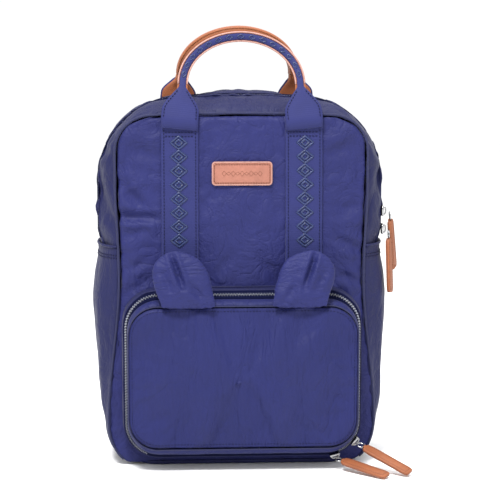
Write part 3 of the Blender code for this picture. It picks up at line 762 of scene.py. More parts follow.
def make_front_panel():
    columns, rows = 56, 84
    grid = []
    for z in spread(3 * MM, FRONT.top, rows):
        half = FRONT.cornered_half(z)
        dome = FRONT.dome * smooth(FRONT.top - 20 * MM, FRONT.top, z)
        line = []
        for s in spread(-1, 1, columns):
            s = math.copysign(abs(s) ** 0.92, s)
            x = s * half
            line.append(Vector((x, front_y(x, z), z + dome * (1 - s * s))))
        grid.append(line)
    obj = grid_object("front_panel_cloth", grid, "cloth")
    pinned = []
    for i, v in enumerate(obj.data.vertices):
        x, z = v.co.x, v.co.z
        on_strap = abs(abs(x) - STRAP_X) < STRAP_WIDTH / 2 - 3 * MM
        on_label = abs(x) < 34 * MM and abs(z - LABEL_Z) < 15 * MM
        edge = i % columns in (0, columns - 1) or i < columns or i >= columns * (rows - 1)
        if edge or on_strap or on_label or z < 170 * MM:
            pinned.append(i)
    puff(obj, pinned, 0.35, 0.022, 3.5 * MM)

    def height(p):
        gap = FRONT.cornered_half(min(p.z, FRONT.top - 1 * MM)) - abs(p.x)
        top_gap = FRONT.top - p.z
        total = 2.6 * MM * (wrinkle(p, 24, (1, 1, 1.7)) - 0.3) * (0.35 + 0.65 * math.exp(-gap / (28 * MM)))
        total += 0.7 * MM * (wrinkle(p, 62, (1, 1, 1.8)) - 0.3)
        total += seam_pucker(gap, p.z) + seam_pucker(top_gap, p.x)
        total -= 1.3 * MM * bell(max(gap, 0), 4.5 * MM) + 1.2 * MM * bell(max(top_gap, 0), 4.5 * MM)
        total += creases(p, PANEL_CREASES)
        on_strap = 1 - smooth(STRAP_WIDTH / 2 - 4 * MM, STRAP_WIDTH / 2 + 5 * MM, abs(abs(p.x) - STRAP_X))
        on_label = 1 - smooth(29 * MM, 40 * MM, abs(p.x))
        on_label *= 1 - smooth(11 * MM, 22 * MM, abs(p.z - LABEL_Z))
        return total * (1 - 0.75 * max(on_strap, on_label))

    displace(obj, height)
    thicken(obj, CLOTH, 1)
    surface = Surface(obj)
    finish(obj, "bag", "navy_cloth", ("upper_front_panel", "lower_front_panel", "front_fold"), FOLD)
    return surface


GUSSET_CREASES = (
    ((-0.150, 0.296), (-0.130, 0.246), 5.0, 2.4),
    ((-0.148, 0.262), (-0.128, 0.252), 4.0, 1.6),
    ((-0.147, 0.330), (-0.128, 0.318), 5.0, 1.5),
    ((0.150, 0.310), (0.130, 0.262), 5.5, 1.8),
    ((0.148, 0.262), (0.129, 0.250), 4.5, 1.5),
    ((-0.080, 0.372), (-0.040, 0.366), 4.5, 1.4),
    ((0.040, 0.368), (0.085, 0.373), 4.5, 1.2),
    ((0.140, 0.120), (0.128, 0.150), 5.0, 1.6),
    ((-0.140, 0.110), (-0.127, 0.140), 5.0, 1.6),
)


def band_pins(columns, rows):
    return list(range(columns)) + list(range(columns * (rows - 1), columns * rows)) + [
        r * columns + c for r in range(rows) for c in (0, columns - 1)
    ]


def make_gussets():
    rows = 13
    grid = arch_grid(ZIP_FRONT_Y, FRONT_Y + 0.2 * MM, rows, 1.5 * MM)
    obj = grid_object("front_gusset_cloth", grid, "shaded_side_cloth")
    puff(obj, band_pins(len(grid[0]), rows), 0.3, 0.02, 1.8 * MM)

    def near_front(p):
        gap = p.y - FRONT_Y
        total = 2.2 * MM * (wrinkle(p, 26, (1, 1.4, 1)) - 0.3) + seam_pucker(gap, p.z + p.x, 1.4)
        total -= 0.9 * MM * bell(gap, 3 * MM) + 1.2 * MM * bell(ZIP_FRONT_Y - p.y, 6 * MM)
        return total + creases(p, GUSSET_CREASES)

    displace(obj, near_front)
    thicken(obj, CLOTH, 1)
    replaced = ("front_gusset", "side_panel_left", "side_panel_right")
    finish(obj, "bag", "navy_cloth", replaced, FOLD)

    rows = 17
    grid = arch_grid(BACK_Y + 1 * MM, ZIP_REAR_Y, rows, 1.5 * MM)
    obj = grid_object("rear_gusset_cloth", grid, "shaded_side_cloth")
    puff(obj, band_pins(len(grid[0]), rows), 0.5, 0.03, 3.0 * MM)

    def behind(p):
        gap = min(BACK_Y + 1 * MM - p.y, p.y - ZIP_REAR_Y)
        total = 1.6 * MM * (wrinkle(p, 22, (1, 1.4, 1)) - 0.3) + seam_pucker(gap, p.z + p.x, 1.2)
        total -= 1.4 * MM * bell(gap, 3 * MM)
        total -= 1.6 * MM * bell(p.y - ZIP_REAR_Y, 6 * MM) * smooth(140 * MM, 146 * MM, abs(p.x))
        return total

    displace(obj, behind)
    thicken(obj, CLOTH, 1)
    finish(obj, "bag", "navy_cloth", ("rear_gusset",))

    for side, word in ((1, "right"), (-1, "left")):
        grid = []
        for y in spread(ZIP_REAR_Y + 0.5 * MM, ZIP_FRONT_Y - 0.5 * MM, 5):
            pairs = zip(seam(y).side(2 * MM, ZIP_END_Z, 40), WIDEST.side(2 * MM, ZIP_END_Z, 40))
            line = [between(y, near, far) for near, far in pairs]
            grid.append([Vector((side * p.x, p.y, p.z)) for p in (line if side > 0 else reversed(line))])
        strip = grid_object(f"side_strip_{word}", grid, "shaded_side_cloth")
        displace(strip, lambda p: 0.5 * MM * (wrinkle(p, 40) - 0.4) - 0.4 * MM)
        thicken(strip, CLOTH)
        finish(strip, "bag", "navy_cloth")


def make_piping():
    """Painted seam shade as a dark tube along the front seam, and the folded edge of cloth along the back
    seam.
    """
    obj = tube("front_seam", arch_line(FRONT_Y + 0.4 * MM, 6 * MM), 1.35 * MM, "seam")
    finish(obj, "bag", "navy_cloth", blend=FOLD)
    back = [Vector((x, BACK_Y + 4.5 * MM, z)) for x, z in BACK.arch(8 * MM)]
    obj = tube("back_piping", back, 2.2 * MM, "shaded_side_cloth", sides_count=10)
    finish(obj, "bag", "navy_cloth")


# ------------------------------------------------------------------ zips


TOOTH = ((-1.9, 0.26, 0.3), (-1.5, 0.40, 0.9), (-0.7, 0.44, 1.2), (0.2, 0.40, 1.0), (0.6, 0.26, 0.4))


def zip_teeth(name, path, outs, sides, body):
    """One half of a coil zip. TOOTH lists how far across, how wide and how high each tooth is, in mm."""
    points, faces = [], []
    for i, share, along in paces(path, ZIP_PITCH):
        out = outs[i].lerp(outs[i + 1], share).normalized()
        side = sides[i].lerp(sides[i + 1], share).normalized()
        centre = path[i].lerp(path[i + 1], share)
        faces += strip_faces(len(TOOTH), 4, first=len(points)) + end_faces(len(TOOTH), 4, len(points))
        for across, wide, high in TOOTH:
            middle, half, rise = centre + side * across * MM, along * wide * MM, out * high * MM
            points += [middle - half, middle - half * 0.6 + rise, middle + half * 0.6 + rise, middle + half]
    obj = mesh_object(name, points, faces, "coil")
    outward(obj)
    return finish(obj, body, "zip_tape")


def shifted(path):
    """The same path, started half a pitch later, so that the two rows of teeth mesh."""
    along = (path[1] - path[0]).normalized()
    return [path[0] + along * ZIP_PITCH / 2] + path[1:]


def line_outs(path, across):
    """Directions out of the bag at each point of a line that goes round it."""
    outs = []
    last = len(path) - 1
    for i in range(len(path)):
        along = (path[min(i + 1, last)] - path[max(i - 1, 0)]).normalized()
        outs.append(across.cross(along).normalized())
    return outs


def make_main_zip():
    halves = (
        ("front", ZIP_SPLIT_Y - 0.5 * MM, ZIP_FRONT_Y, 1, "front_cover"),
        ("rear", ZIP_REAR_Y, ZIP_SPLIT_Y + 0.5 * MM, -1, "bag"),
    )
    for word, y_rear, y_front, inward, body in halves:
        lines = [arch_line(y, ZIP_END_Z) for y in (y_rear, y_front)]
        tape = grid_object(f"main_zip_tape_{word}", lines, "tape")
        displace(tape, lambda p: 0.1 * MM)
        thicken(tape, 0.8 * MM)
        finish(tape, body, "zip_tape", (f"main_zip_{word}",))
        path = arch_line(ZIP_SPLIT_Y, ZIP_END_Z)
        outs = line_outs(path, -FORWARD)
        path = [p + o * 0.1 * MM for p, o in zip(path, outs)]
        path = shifted(path) if inward > 0 else path
        zip_teeth(f"main_zip_teeth_{word}", path, outs, [FORWARD * inward] * len(path), body)


# ------------------------------------------------------------------ pocket


EDGE_STEPS = 22


def ring_outline(half, low, high, corner, corner_steps=12, edge_steps=EDGE_STEPS):
    """A rounded rectangle of (x, z) points, anticlockwise from its bottom right corner."""
    centres = ((1, -1, -90), (1, 1, 0), (-1, 1, 90), (-1, -1, 180))
    corners = []
    for sx, sz, first in centres:
        cx = sx * (half - corner)
        cz = (low + corner) if sz < 0 else (high - corner)
        turns = [math.radians(first + 90 * k / corner_steps) for k in range(corner_steps + 1)]
        corners.append([(cx + corner * math.cos(a), cz + corner * math.sin(a)) for a in turns])
    points = []
    for i, arc in enumerate(corners):
        points += arc
        start, end = arc[-1], corners[(i + 1) % 4][0]
        for k in range(1, edge_steps):
            share = k / edge_steps
            points.append((start[0] + (end[0] - start[0]) * share, start[1] + (end[1] - start[1]) * share))
    return points


RING_BASE = ring_outline(124 * MM, 10 * MM, 188 * MM, 38 * MM)
RING_BACK = ring_outline(123 * MM, 11.5 * MM, 186.5 * MM, 37 * MM)
RING_ZIP = ring_outline(120.5 * MM, 14 * MM, 182.5 * MM, 35 * MM)
RING_FRONT = ring_outline(118.6 * MM, 17 * MM, 178 * MM, 33 * MM)
RING_FACE = ring_outline(FACE_HALF, FACE_LOW, FACE_HIGH, 29 * MM)
RING = len(RING_ZIP)


def ring_points(ring, y):
    return [Vector((x, y, z)) for x, z in ring]


def ring_line(first, second, share, y):
    line = []
    for (x0, z0), (x1, z1) in zip(first, second):
        x, z = x0 + (x1 - x0) * share, z0 + (z1 - z0) * share
        line.append(Vector((x, front_y(x, z) - 3.8 * MM if y is None else y, z)))
    return line


def ring_outs(path):
    outs = []
    for i, p in enumerate(path):
        along = (path[(i + 1) % len(path)] - path[i - 1]).normalized()
        out = along.cross(FORWARD).normalized()
        outs.append(out if out.dot(p - UP * POCKET_MIDDLE_Z) > 0 else -out)
    return outs


def make_pocket_gusset():
    depths = ((0, None), (0.4, -56.5 * MM), (0.7, -60 * MM), (0.9, -63 * MM), (1, -66.4 * MM))
    grid = [ring_line(RING_BASE, RING_BACK, share, y) for share, y in depths]
    obj = grid_object("pocket_gusset_cloth", grid, "shaded_side_cloth", ring=True)
    displace(obj, lambda p: 0.9 * MM * (wrinkle(p, 40) - 0.3))
    thicken(obj, CLOTH * 0.8, 1)
    finish(obj, "bag", "navy_cloth", ("pocket_gusset",))


def make_pocket_zip():
    """The zip lies on a slope, so that its teeth look forward and up between the ears."""
    back = ring_points(RING_BACK, -66.8 * MM)
    middle = ring_points(RING_ZIP, POCKET_SPLIT_Y)
    front = ring_points(RING_FRONT, -74.6 * MM)
    halves = (("outer", back, middle, "bag"), ("inner", middle, front, "pocket_flap"))
    for word, first, second, body in halves:
        grid = [[a.lerp(b, t) for a, b in zip(first, second)] for t in (0.04, 0.5, 0.96)]
        tape = grid_object(f"pocket_zip_tape_{word}", grid, "tape", ring=True)
        displace(tape, lambda p: -1.0 * MM)
        thicken(tape, 0.7 * MM)
        finish(tape, body, "zip_tape", (f"pocket_zip_{word}",))
    sewn = slice(3, RING - EDGE_STEPS - 2)  # the teeth leave out the bottom edge, where the flap is sewn on
    toward = [(f - b).normalized() for b, f in zip(back, front)][sewn]
    outs = [(o - t * o.dot(t)).normalized() for o, t in zip(ring_outs(middle)[sewn], toward)]
    path = [p - o * 0.9 * MM for p, o in zip(middle[sewn], outs)]
    zip_teeth("pocket_zip_teeth_outer", path, outs, toward, "bag")
    zip_teeth("pocket_zip_teeth_inner", shifted(path), outs, [-t for t in toward], "pocket_flap")


FACE_CREASES = (
    ((-0.070, 0.030), (-0.064, 0.085), 7.0, 1.0),
    ((0.066, 0.034), (0.060, 0.100), 8.0, 0.9),
    ((-0.020, 0.030), (-0.026, 0.070), 8.0, 0.7),
    ((0.018, 0.032), (0.024, 0.062), 7.0, 0.7),
    ((0.098, 0.120), (0.080, 0.116), 5.0, 0.8),
    ((-0.100, 0.120), (-0.080, 0.112), 5.0, 0.9),
    ((0.100, 0.060), (0.078, 0.058), 5.0, 0.7),
    ((-0.101, 0.050), (-0.080, 0.060), 5.0, 0.8),
)


def make_pocket_rim():
    """The quarter round between the zip and the face's seam, slightly gathered at the seam."""
    back_y, deep = -74.8 * MM, -10.4 * MM
    grid = []
    for s in spread(0, 0.97, 8):
        grid.append(ring_line(RING_FRONT, RING_FACE, 1 - math.sqrt(1 - s * s), back_y + deep * s))
    rim = grid_object("pocket_rim_cloth", grid, "face_cloth", ring=True)

    def gathered(p):
        wave = math.sin((p.x + p.z) * 640 + 3 * noise.noise(p * 30))
        return 0.5 * MM * (wrinkle(p, 60) - 0.3) + 0.45 * MM * (p.y - back_y) / deep * wave

    displace(rim, gathered)
    thicken(rim, CLOTH, 1)
    finish(rim, "pocket_flap", "navy_cloth", ("pocket_rim",))
    return grid[-1]


def make_pocket_face(seam_line):
    middle = Vector((0, POCKET_MIDDLE_Z))
    rings = 18
    points = []
    for k in range(rings):
        share = (k / (rings - 1)) ** 1.15 * 0.93
        y = -85.4 * MM - 7 * MM * (1 - (1 - share) ** 2.2)
        for x, z in RING_FACE:
            near = Vector((x, z)).lerp(middle, share)
            points.append(Vector((near.x, y, near.y)))
    points.append(Vector((0, -92.6 * MM, POCKET_MIDDLE_Z)))
    last = (rings - 1) * RING
    faces = strip_faces(rings, RING)
    faces += [(last + c, last + (c + 1) % RING, len(points) - 1) for c in range(RING)]
    face = mesh_object("pocket_face_cloth", points, faces, "face_cloth")
    puff(face, range(RING), 0.5, 0.03, 4.5 * MM)

    def height(p):
        edge = min(FACE_HALF - abs(p.x), p.z - FACE_LOW, FACE_HIGH - p.z)
        total = 2.0 * MM * (wrinkle(p, 19, (1.6, 1, 0.7)) - 0.3)
        total += 0.5 * MM * (wrinkle(p, 60, (1.6, 1, 0.6)) - 0.3)
        total *= smooth(0, 12 * MM, edge)
        total += seam_pucker(max(edge, 0), p.x + p.z, 0.8) * smooth(0, 2 * MM, edge)
        return total + creases(p, FACE_CREASES)

    displace(face, height)
    thicken(face, CLOTH, 1)
    finish(face, "pocket_flap", "navy_cloth", ("pocket_face",))
    # Painted shade: a dark tube along the face's seam.
    dark = [Vector((p.x, -85.9 * MM, p.z)) for p in seam_line]
    finish(tube("pocket_seam", dark, 0.7 * MM, "seam", closed=True), "pocket_flap", "navy_cloth")
    inset = 3.4 * MM
    row = ring_outline(FACE_HALF - inset, FACE_LOW + inset, FACE_HIGH - inset, 26 * MM)
    row = [Vector((x, -95 * MM, z)) for x, z in row + row[:1]]
    sewn_row("pocket_face_stitches", Surface(face), row, FORWARD, "pocket_flap", "navy_cloth",
             radius=0.26 * MM)


# ------------------------------------------------------------------ ears


EAR_X, EAR_Y, EAR_Z, EAR_TALL = 62 * MM, -92.5 * MM, 170 * MM, 57 * MM
# Height, and the outer and inner edge's distance from the ear's middle, in mm
EAR_OUTLINE = (
    (0, 21, -33), (6, 22.5, -32.5), (14, 25.5, -31), (22, 28.5, -29.5), (30, 30.5, -27.5), (38, 30.5, -24.5),
    (44, 28.5, -21), (48.5, 25.5, -17), (52, 21.5, -11.5), (54.5, 17, -5), (56, 13, 1), (56.8, 10, 5),
)
# Pressed-in lines of the right ear: both ends from its middle and foot, width and depth, in mm
EAR_CREASES = (((11, 55), (-1, 22), 2.8, 3.4), ((21, 40), (12, 20), 3.2, 1.0), ((-22, 8), (-8, 26), 3.6, 1.2))


def ear_back(height):
    """How far behind its foot the ear stands at a height."""
    return 4.5 * MM * smooth(4 * MM, 18 * MM, height) + EAR_LEAN * (height / EAR_TALL) ** 2


def make_ears():
    """Soft ears, widest halfway up on their outer side, with a pleat pressed into the middle."""
    around = 32
    halfway = [tuple((u + v) / 2 for u, v in zip(a, b)) for a, b in zip(EAR_OUTLINE, EAR_OUTLINE[1:])]
    stations = [row for pair in zip(EAR_OUTLINE, halfway) for row in pair] + [EAR_OUTLINE[-1]]
    for side, word in ((1, "right"), (-1, "left")):
        middle = side * EAR_X
        centres, halves, thick = [], [], []
        for z, outer, inner in stations:
            z *= MM
            x = middle + side * (outer + inner) / 2 * MM
            centres.append(Vector((x, EAR_Y + ear_back(z), EAR_Z + 1.5 * MM + z)))
            halves.append((outer - inner) / 2 * MM)
            full = smooth(0, 0.30, z / EAR_TALL) * math.sqrt(max(1 - (z / EAR_TALL) ** 5, 0))
            thick.append(0.6 * MM + 6.0 * MM * full)

        def section(i):
            return squared_round(halves[i], thick[i], 0.75, 0.85, around)

        count = len(centres)
        obj = sweep(f"{word}_ear", centres, [ACROSS] * count, [-FORWARD] * count, section, "ear_cloth")
        sub = obj.modifiers.new("finer", "SUBSURF")
        sub.levels = sub.render_levels = 2
        freeze(obj)
        pleats = []
        for ends in EAR_CREASES:
            start, end = ((middle + side * x * MM, EAR_Z + z * MM) for x, z in ends[:2])
            pleats.append((start, end, *ends[2:]))

        def height(p):
            h = p.z - EAR_Z
            front = smooth(-0.5 * MM, 2.5 * MM, EAR_Y + ear_back(max(h, 0)) - p.y)
            total = 1.3 * MM * (wrinkle(p, 30, (0.8, 1, 1.5)) - 0.3) + front * creases(p, pleats)
            return total + 0.5 * MM * math.sin(p.x * 800 + 4) * math.exp(-max(h - 2 * MM, 0) / (6 * MM))

        displace(obj, height)
        finish(obj, f"ear_{word}", "navy_cloth", (f"ear_{word}",))


# ------------------------------------------------------------------ straps, handles and label


def lozenge(centre, wide, tall, across=ACROSS, along=UP):
    """Points of a closed diamond outline."""
    ends = (across * wide / 2, along * tall / 2, across * -wide / 2, along * -tall / 2)
    return [centre + ends[i].lerp(ends[(i + 1) % 4], k / 6) for i in range(4) for k in range(6)]


def make_front_straps(panel):
    for side, word in ((1, "right"), (-1, "left")):
        middle = side * STRAP_X
        grid = []
        for z in spread(196 * MM, 358 * MM, 60):
            line = [Vector((middle + s * STRAP_WIDTH / 2, -60 * MM, z)) for s in spread(-1, 1, 11)]
            grid.append([panel.along(p, FORWARD)[0] - FORWARD * 0.5 * MM for p in line])
        eased = [[p.copy() for p in line] for line in grid]
        for above, line, below, calm in zip(grid, grid[1:], grid[2:], eased[1:]):
            for c, p in enumerate(line):
                calm[c].y = min((above[c].y + p.y + below[c].y) / 3, p.y)
        obj = grid_object(f"front_strap_skin_{word}", eased, "webbing")
        thicken(obj, 1.7 * MM, 1, offset=1.0)
        surface = Surface(obj)
        finish(obj, "bag", "webbing", (f"front_strap_{word}", f"front_strap_lower_{word}"), blend=FOLD)
        for offset in (-16.2, 16.2):
            line = [Vector((middle + offset * MM, AHEAD_Y, z)) for z in spread(198 * MM, 356 * MM, 80)]
            name = f"strap_stitches_{word}_{'inner' if offset * side < 0 else 'outer'}"
            sewn_row(name, surface, line, FORWARD, "bag", "webbing", blend=FOLD)
        for z in (346.5 * MM, 342.5 * MM):
            line = [Vector((x, AHEAD_Y, z)) for x in spread(middle - 15.5 * MM, middle + 15.5 * MM, 20)]
            name = f"strap_top_stitches_{word}_{round(z * 1000)}"
            sewn_row(name, surface, line, FORWARD, "front_cover", "webbing")
        sizes = ((16.5 * MM, 13.2 * MM), (8.0 * MM, 6.4 * MM))
        motifs = [(z, *size) for z in spread(336 * MM, 236 * MM, 8) for size in sizes]
        for count, (z, wide, tall) in enumerate(motifs):
            outline = lozenge(Vector((middle + side * 1.0 * MM, AHEAD_Y, z)), wide, tall)
            placed, _ = laid(surface, outline, FORWARD, 0.15 * MM)
            motif = tube(f"motif_{word}_{count}", placed, 1.1 * MM, "satin", closed=True, sides_count=6)
            finish(motif, "front_cover", "webbing")


WIDE_STEPS, ARCH_STEPS = 12, 48


def handle_path(foot, neck, apex):
    """Up a leg that narrows to the neck, over the arch and down again. The places are (y, z)."""
    centres, halves = [], []
    for k in range(WIDE_STEPS):
        share = k / WIDE_STEPS
        y, z = (a + (b - a) * share for a, b in zip(foot, neck))
        centres.append(Vector((STRAP_X + (HANDLE_SPAN - STRAP_X) * share, y, z)))
        halves.append(STRAP_WIDTH / 2 + (GRIP_HALF - STRAP_WIDTH / 2) * smooth(0.22, 1, share))
    arch = []
    for k in range(ARCH_STEPS + 1):
        a = math.pi * k / ARCH_STEPS
        y, z = (low + (high - low) * math.sin(a) for low, high in zip(neck, apex))
        arch.append(Vector((HANDLE_SPAN * math.cos(a), y, z)))
    other = [Vector((-p.x, p.y, p.z)) for p in reversed(centres)]
    return centres + arch + other, halves + [GRIP_HALF] * len(arch) + list(reversed(halves))


def leather_section(half, deep, lip=0.5 * MM):
    """A rolled leather grip: flat against the webbing, with soft thick edges and a round back."""
    edge = [(-half * 0.80, lip * 0.2), (-half * 0.93, lip), (-half, lip * 0.2)]
    back = [(1.03, 0.22), (0.98, 0.45), (0.80, 0.80), (0.45, 0.98), (0, 1.02)]
    pairs = edge + [(-half * a, -b * deep) for a, b in back]
    return pairs + [(-a, b) for a, b in reversed(pairs[:-1])]


def sewn_foot(centres, sides, fronts, outward):
    """The same path carried a little further down both legs, where it's sewn to the strap under it."""
    drop = Vector((0, 0.6 * MM * outward, -10.5 * MM))
    longer = [centres[0] + drop] + centres + [centres[-1] + drop]
    return longer, [sides[0]] + sides + [sides[-1]], [fronts[0]] + fronts + [fronts[-1]]


def make_handle(word, outward, foot, neck, apex, body, base_body, hinge_z):
    centres, halves = handle_path(foot, neck, apex)
    sides, fronts = path_frames(centres, Vector((0, outward, 0)))
    wide = [smooth(GRIP_HALF + 0.2 * MM, 19 * MM, h) for h in halves]

    def sewn_web(i):
        width = halves[min(max(i - 1, 0), len(centres) - 1)]
        half = 3.2 * MM + (width - 3.2 * MM) * smooth(GRIP_HALF, 7.5 * MM, width)
        out = 1.7 * MM
        right = [(half, 0), (half, out * 0.7), (half * 0.8, out)]
        return [(-half, 0)] + right + [(0, out * 1.08)] + [(-a, b) for a, b in reversed(right[1:])]

    def hide(i):
        deep = 8.0 * MM - 6.2 * MM * wide[i] ** 0.5
        return leather_section(halves[i] - 2.0 * MM * smooth(GRIP_HALF, 8 * MM, halves[i]), deep)

    fold = (base_body, body, (0, foot[0], hinge_z - 4 * MM), (0, foot[0], hinge_z + 16 * MM))
    webbing = sweep(f"{word}_handle_strap", *sewn_foot(centres, sides, fronts, outward), sewn_web, "webbing")
    grip = sweep(f"{word}_handle_grip", centres, sides, fronts, hide, "leather")
    finish(webbing, body, "webbing", (f"{word}_handle_webbing",), blend=fold)
    finish(grip, body, "leather", (f"{word}_handle_leather",), blend=fold)
    arch = range(WIDE_STEPS, WIDE_STEPS + ARCH_STEPS + 1)
    for sign, name in ((-1, "a"), (1, "b")):
        line = [centres[i] + sides[i] * sign * (halves[i] * 0.93) + fronts[i] * 0.35 * MM for i in arch]
        finish(tube(f"{word}_handle_edge_{name}", line, 0.9 * MM, "edge"), body, "leather")
        line = [centres[i] + sides[i] * sign * GRIP_HALF * 0.62 - fronts[i] * 7.3 * MM for i in arch[1:-1]]
        finish(tube(f"{word}_handle_roll_{name}", line, 1.3 * MM, "leather"), body, "leather")
    if outward < 0:
        for count, i in enumerate(range(15, len(centres) - 15, 3)):
            along = (centres[i + 1] - centres[i - 1]).normalized()
            points = lozenge(centres[i] + fronts[i] * 1.9 * MM, 4.4 * MM, 7.0 * MM, sides[i], along)
            motif = tube(f"handle_motif_{count}", points, 0.6 * MM, "satin", closed=True, sides_count=6)
            finish(motif, body, "webbing")
    for mirror, name in ((1, "right"), (-1, "left")):
        flip = Vector((mirror, 1, 1))
        for sign, edge in ((-1, "inner"), (1, "outer")):
            line = []
            for i in range(WIDE_STEPS - 1):
                half = max(halves[i] - 2.6 * MM, 2.4 * MM)
                line.append((centres[i] + sides[i] * sign * half + fronts[i] * 1.8 * MM) * flip)
            normals = [front * flip for front in fronts[:len(line)]]
            stitches(f"{word}_handle_stitches_{name}_{edge}", line, normals, body, "webbing", blend=fold)


def make_handles():
    # Each handle's foot, neck and apex are (y, z)
    front = ((-53 * MM, 360 * MM), (-43 * MM, 395 * MM), (-25 * MM, 443 * MM))
    rear = ((54 * MM, 376 * MM), (47 * MM, 404 * MM), (17 * MM, 449 * MM))
    make_handle("front", -1, *front, "front_handle", "front_cover", front[0][1])
    make_handle("rear", 1, *rear, "rear_handle", "bag", rear[0][1])


def label_outline(inset):
    half, tall, corner = 31 * MM - inset, 12.2 * MM - inset, 3.4 * MM - inset * 0.5
    ring = ring_outline(half, -tall, tall, corner, 5, 10)
    return [(x, z + LABEL_Z) for x, z in ring]


def make_label():
    y = front_y(0, LABEL_Z) - 1.0 * MM
    deep = 2.2 * MM
    radius = deep * 0.55
    rings = [[Vector((x, y, z)) for x, z in label_outline(0)]]
    for a in spread(0, math.pi / 2, 5):
        front = y - (deep - radius) - radius * math.sin(a)
        rings.append([Vector((x, front, z)) for x, z in label_outline(radius * (1 - math.cos(a)))])
    label = lofted("leather_label_plate", rings, "label_leather")
    finish(label, "front_cover", "leather", ("leather_label",))
    rim = [Vector((x, y - 1.9 * MM, z)) for x, z in label_outline(0.7 * MM)]
    edge = tube("label_edge", rim, 0.75 * MM, "edge", closed=True, sides_count=6)
    finish(edge, "front_cover", "leather")
    row = [Vector((x, y - 2.2 * MM, z)) for x, z in label_outline(2.6 * MM)]
    row.append(row[0])
    stitches("label_stitches", row, [-FORWARD] * len(row), "front_cover", "leather", "tan_stitch",
             step=TAN_STEP)
    for count, k in enumerate(range(-4, 5)):
        centre = Vector((k * 4.6 * MM, y - 2.1 * MM, LABEL_Z))
        points = lozenge(centre, 4.4 * MM, (3.4 if k % 2 else 5.6) * MM)
        mark = tube(f"label_deboss_{count}", points, 0.28 * MM, "tan_stitch", closed=True, sides_count=6)
        finish(mark, "front_cover", "leather")


# ------------------------------------------------------------------ sliders and pulls


def block(name, place, rings, look):
    """A solid through rings of (across, out, along) points in millimetres, placed by a matrix."""
    return lofted(name, [[place @ mm(*p) for p in ring] for ring in rings], look)


def frame_matrix(at, out, along):
    y, z = Vector(out).normalized(), Vector(along).normalized()
    x = y.cross(z).normalized()
    return Matrix.Translation(at) @ Matrix((x, y, z)).transposed().to_4x4()


def make_slider(node, place):
    """A cast slider: a rounded wedge on the teeth, and a bridge over it for the pull's ring."""
    right = [(3.0, -5.5), (3.7, -4.9), (4.4, 0.8), (4.5, 3.0), (3.4, 4.8), (1.6, 5.5)]
    outline = [(-3.0, -5.5)] + right + [(0, 4.9)] + [(-a, b) for a, b in reversed(right[1:])]
    rings = []
    for out, shrink in ((-0.2, 0.93), (0.1, 1.0), (1.5, 1.0), (2.0, 0.95), (2.2, 0.84)):
        rings.append([(a * shrink, out, b * shrink) for a, b in outline])
    finish(block(f"{node}_body", place, rings, "metal"), node, "metal", (node,))
    rise = [(-4.0, 1.9), (-3.8, 3.4), (-2.6, 4.3)]
    arch = [place @ mm(0, out, b) for b, out in rise + [(0, 4.5)] + [(-b, out) for b, out in reversed(rise)]]
    bridge = tube(f"{node}_bridge", arch, 0.85 * MM, "metal", lean=place.to_3x3() @ ACROSS)
    finish(bridge, node, "metal")


TAB_LONG, TAB_WIDE, TAB_DEEP = 56.0, 12.6, 1.8  # in mm; the depth is half the thickness


def tab_section(inset):
    """Outline of a tab in mm, narrower at both ends."""
    shape = [(0.0, 0.62), (0.8, 0.74), (2.5, 0.88), (9, 1.0)]
    shape += [(TAB_LONG - d, s) for d, s in ((6, 1.0), (2, 0.90), (0.6, 0.74), (0, 0.58))]
    right = [(s * TAB_WIDE / 2 - inset, min(max(d, inset), TAB_LONG - inset)) for d, s in shape]
    return right + [(-a, d) for a, d in reversed(right)]


def turned(flat, down):
    """The part of flat that is square to down, and the direction across both."""
    flat = Vector(flat)
    flat = (flat - down * flat.dot(down)).normalized()
    return flat, down.cross(flat).normalized()


def make_pull(node, pivot, down, flat, face=None):
    """A wire link on pivot, and a leather tab sewn round it. face turns the tab on its own length."""
    start, down = Vector(pivot), Vector(down).normalized()
    flat, across = turned(flat, down)
    ring = []
    for k in range(28):
        a = math.tau * k / 28
        ring.append(start + down * (LINK_HALF * (1 - math.cos(a))) + across * (3.4 * MM * math.sin(a)))
    link = tube(f"{node}_ring", ring, 0.8 * MM, "metal", closed=True, sides_count=10, lean=flat)
    finish(link, f"{node}_link", "metal", (f"{node}_link",))

    if face:
        flat, across = turned(face, down)
    low = start + down * 2 * LINK_HALF
    place = Matrix.Translation(low + down * 1.1 * MM) @ Matrix((across, flat, down)).transposed().to_4x4()
    rings = []
    for out, inset in ((-1.0, 0.75), (-0.86, 0.30), (-0.6, 0.0), (0.6, 0.0), (0.86, 0.30), (1.0, 0.75)):
        rings.append([(a, out * TAB_DEEP, d) for a, d in tab_section(inset)])
    finish(block(f"{node}_leather", place, rings, "leather"), f"{node}_tab", "leather", (f"{node}_tab",))
    rings = [[(a, out, d) for a, d in tab_section(-0.05)] for out in (-0.28, 0.28)]
    finish(block(f"{node}_edge", place, rings, "tan_stitch"), f"{node}_tab", "leather")
    turns = spread(0, math.pi, 9)
    loop = [low + down * 1.9 * MM * math.sin(a) + flat * 1.35 * MM * math.cos(a) for a in turns]
    outs = [(p - low).normalized() for p in loop]
    strap = sweep(f"{node}_fold", loop, [across] * 9, outs, flat_section(2.2 * MM, 0, 0.5 * MM), "leather")
    finish(strap, f"{node}_tab", "leather")
    line = [(a * 0.74, min(max(d, 3.2), TAB_LONG - 3.2)) for a, d in tab_section(0.4)]
    for sign, word in ((1, "front"), (-1, "rear")):
        row = [place @ mm(a, sign * TAB_DEEP, d) for a, d in line]
        normals = [flat * sign] * len(row)
        stitches(f"{node}_stitches_{word}", row, normals, f"{node}_tab", "leather", "tan_stitch",
                 step=TAN_STEP, length=1.7 * MM, radius=0.26 * MM)


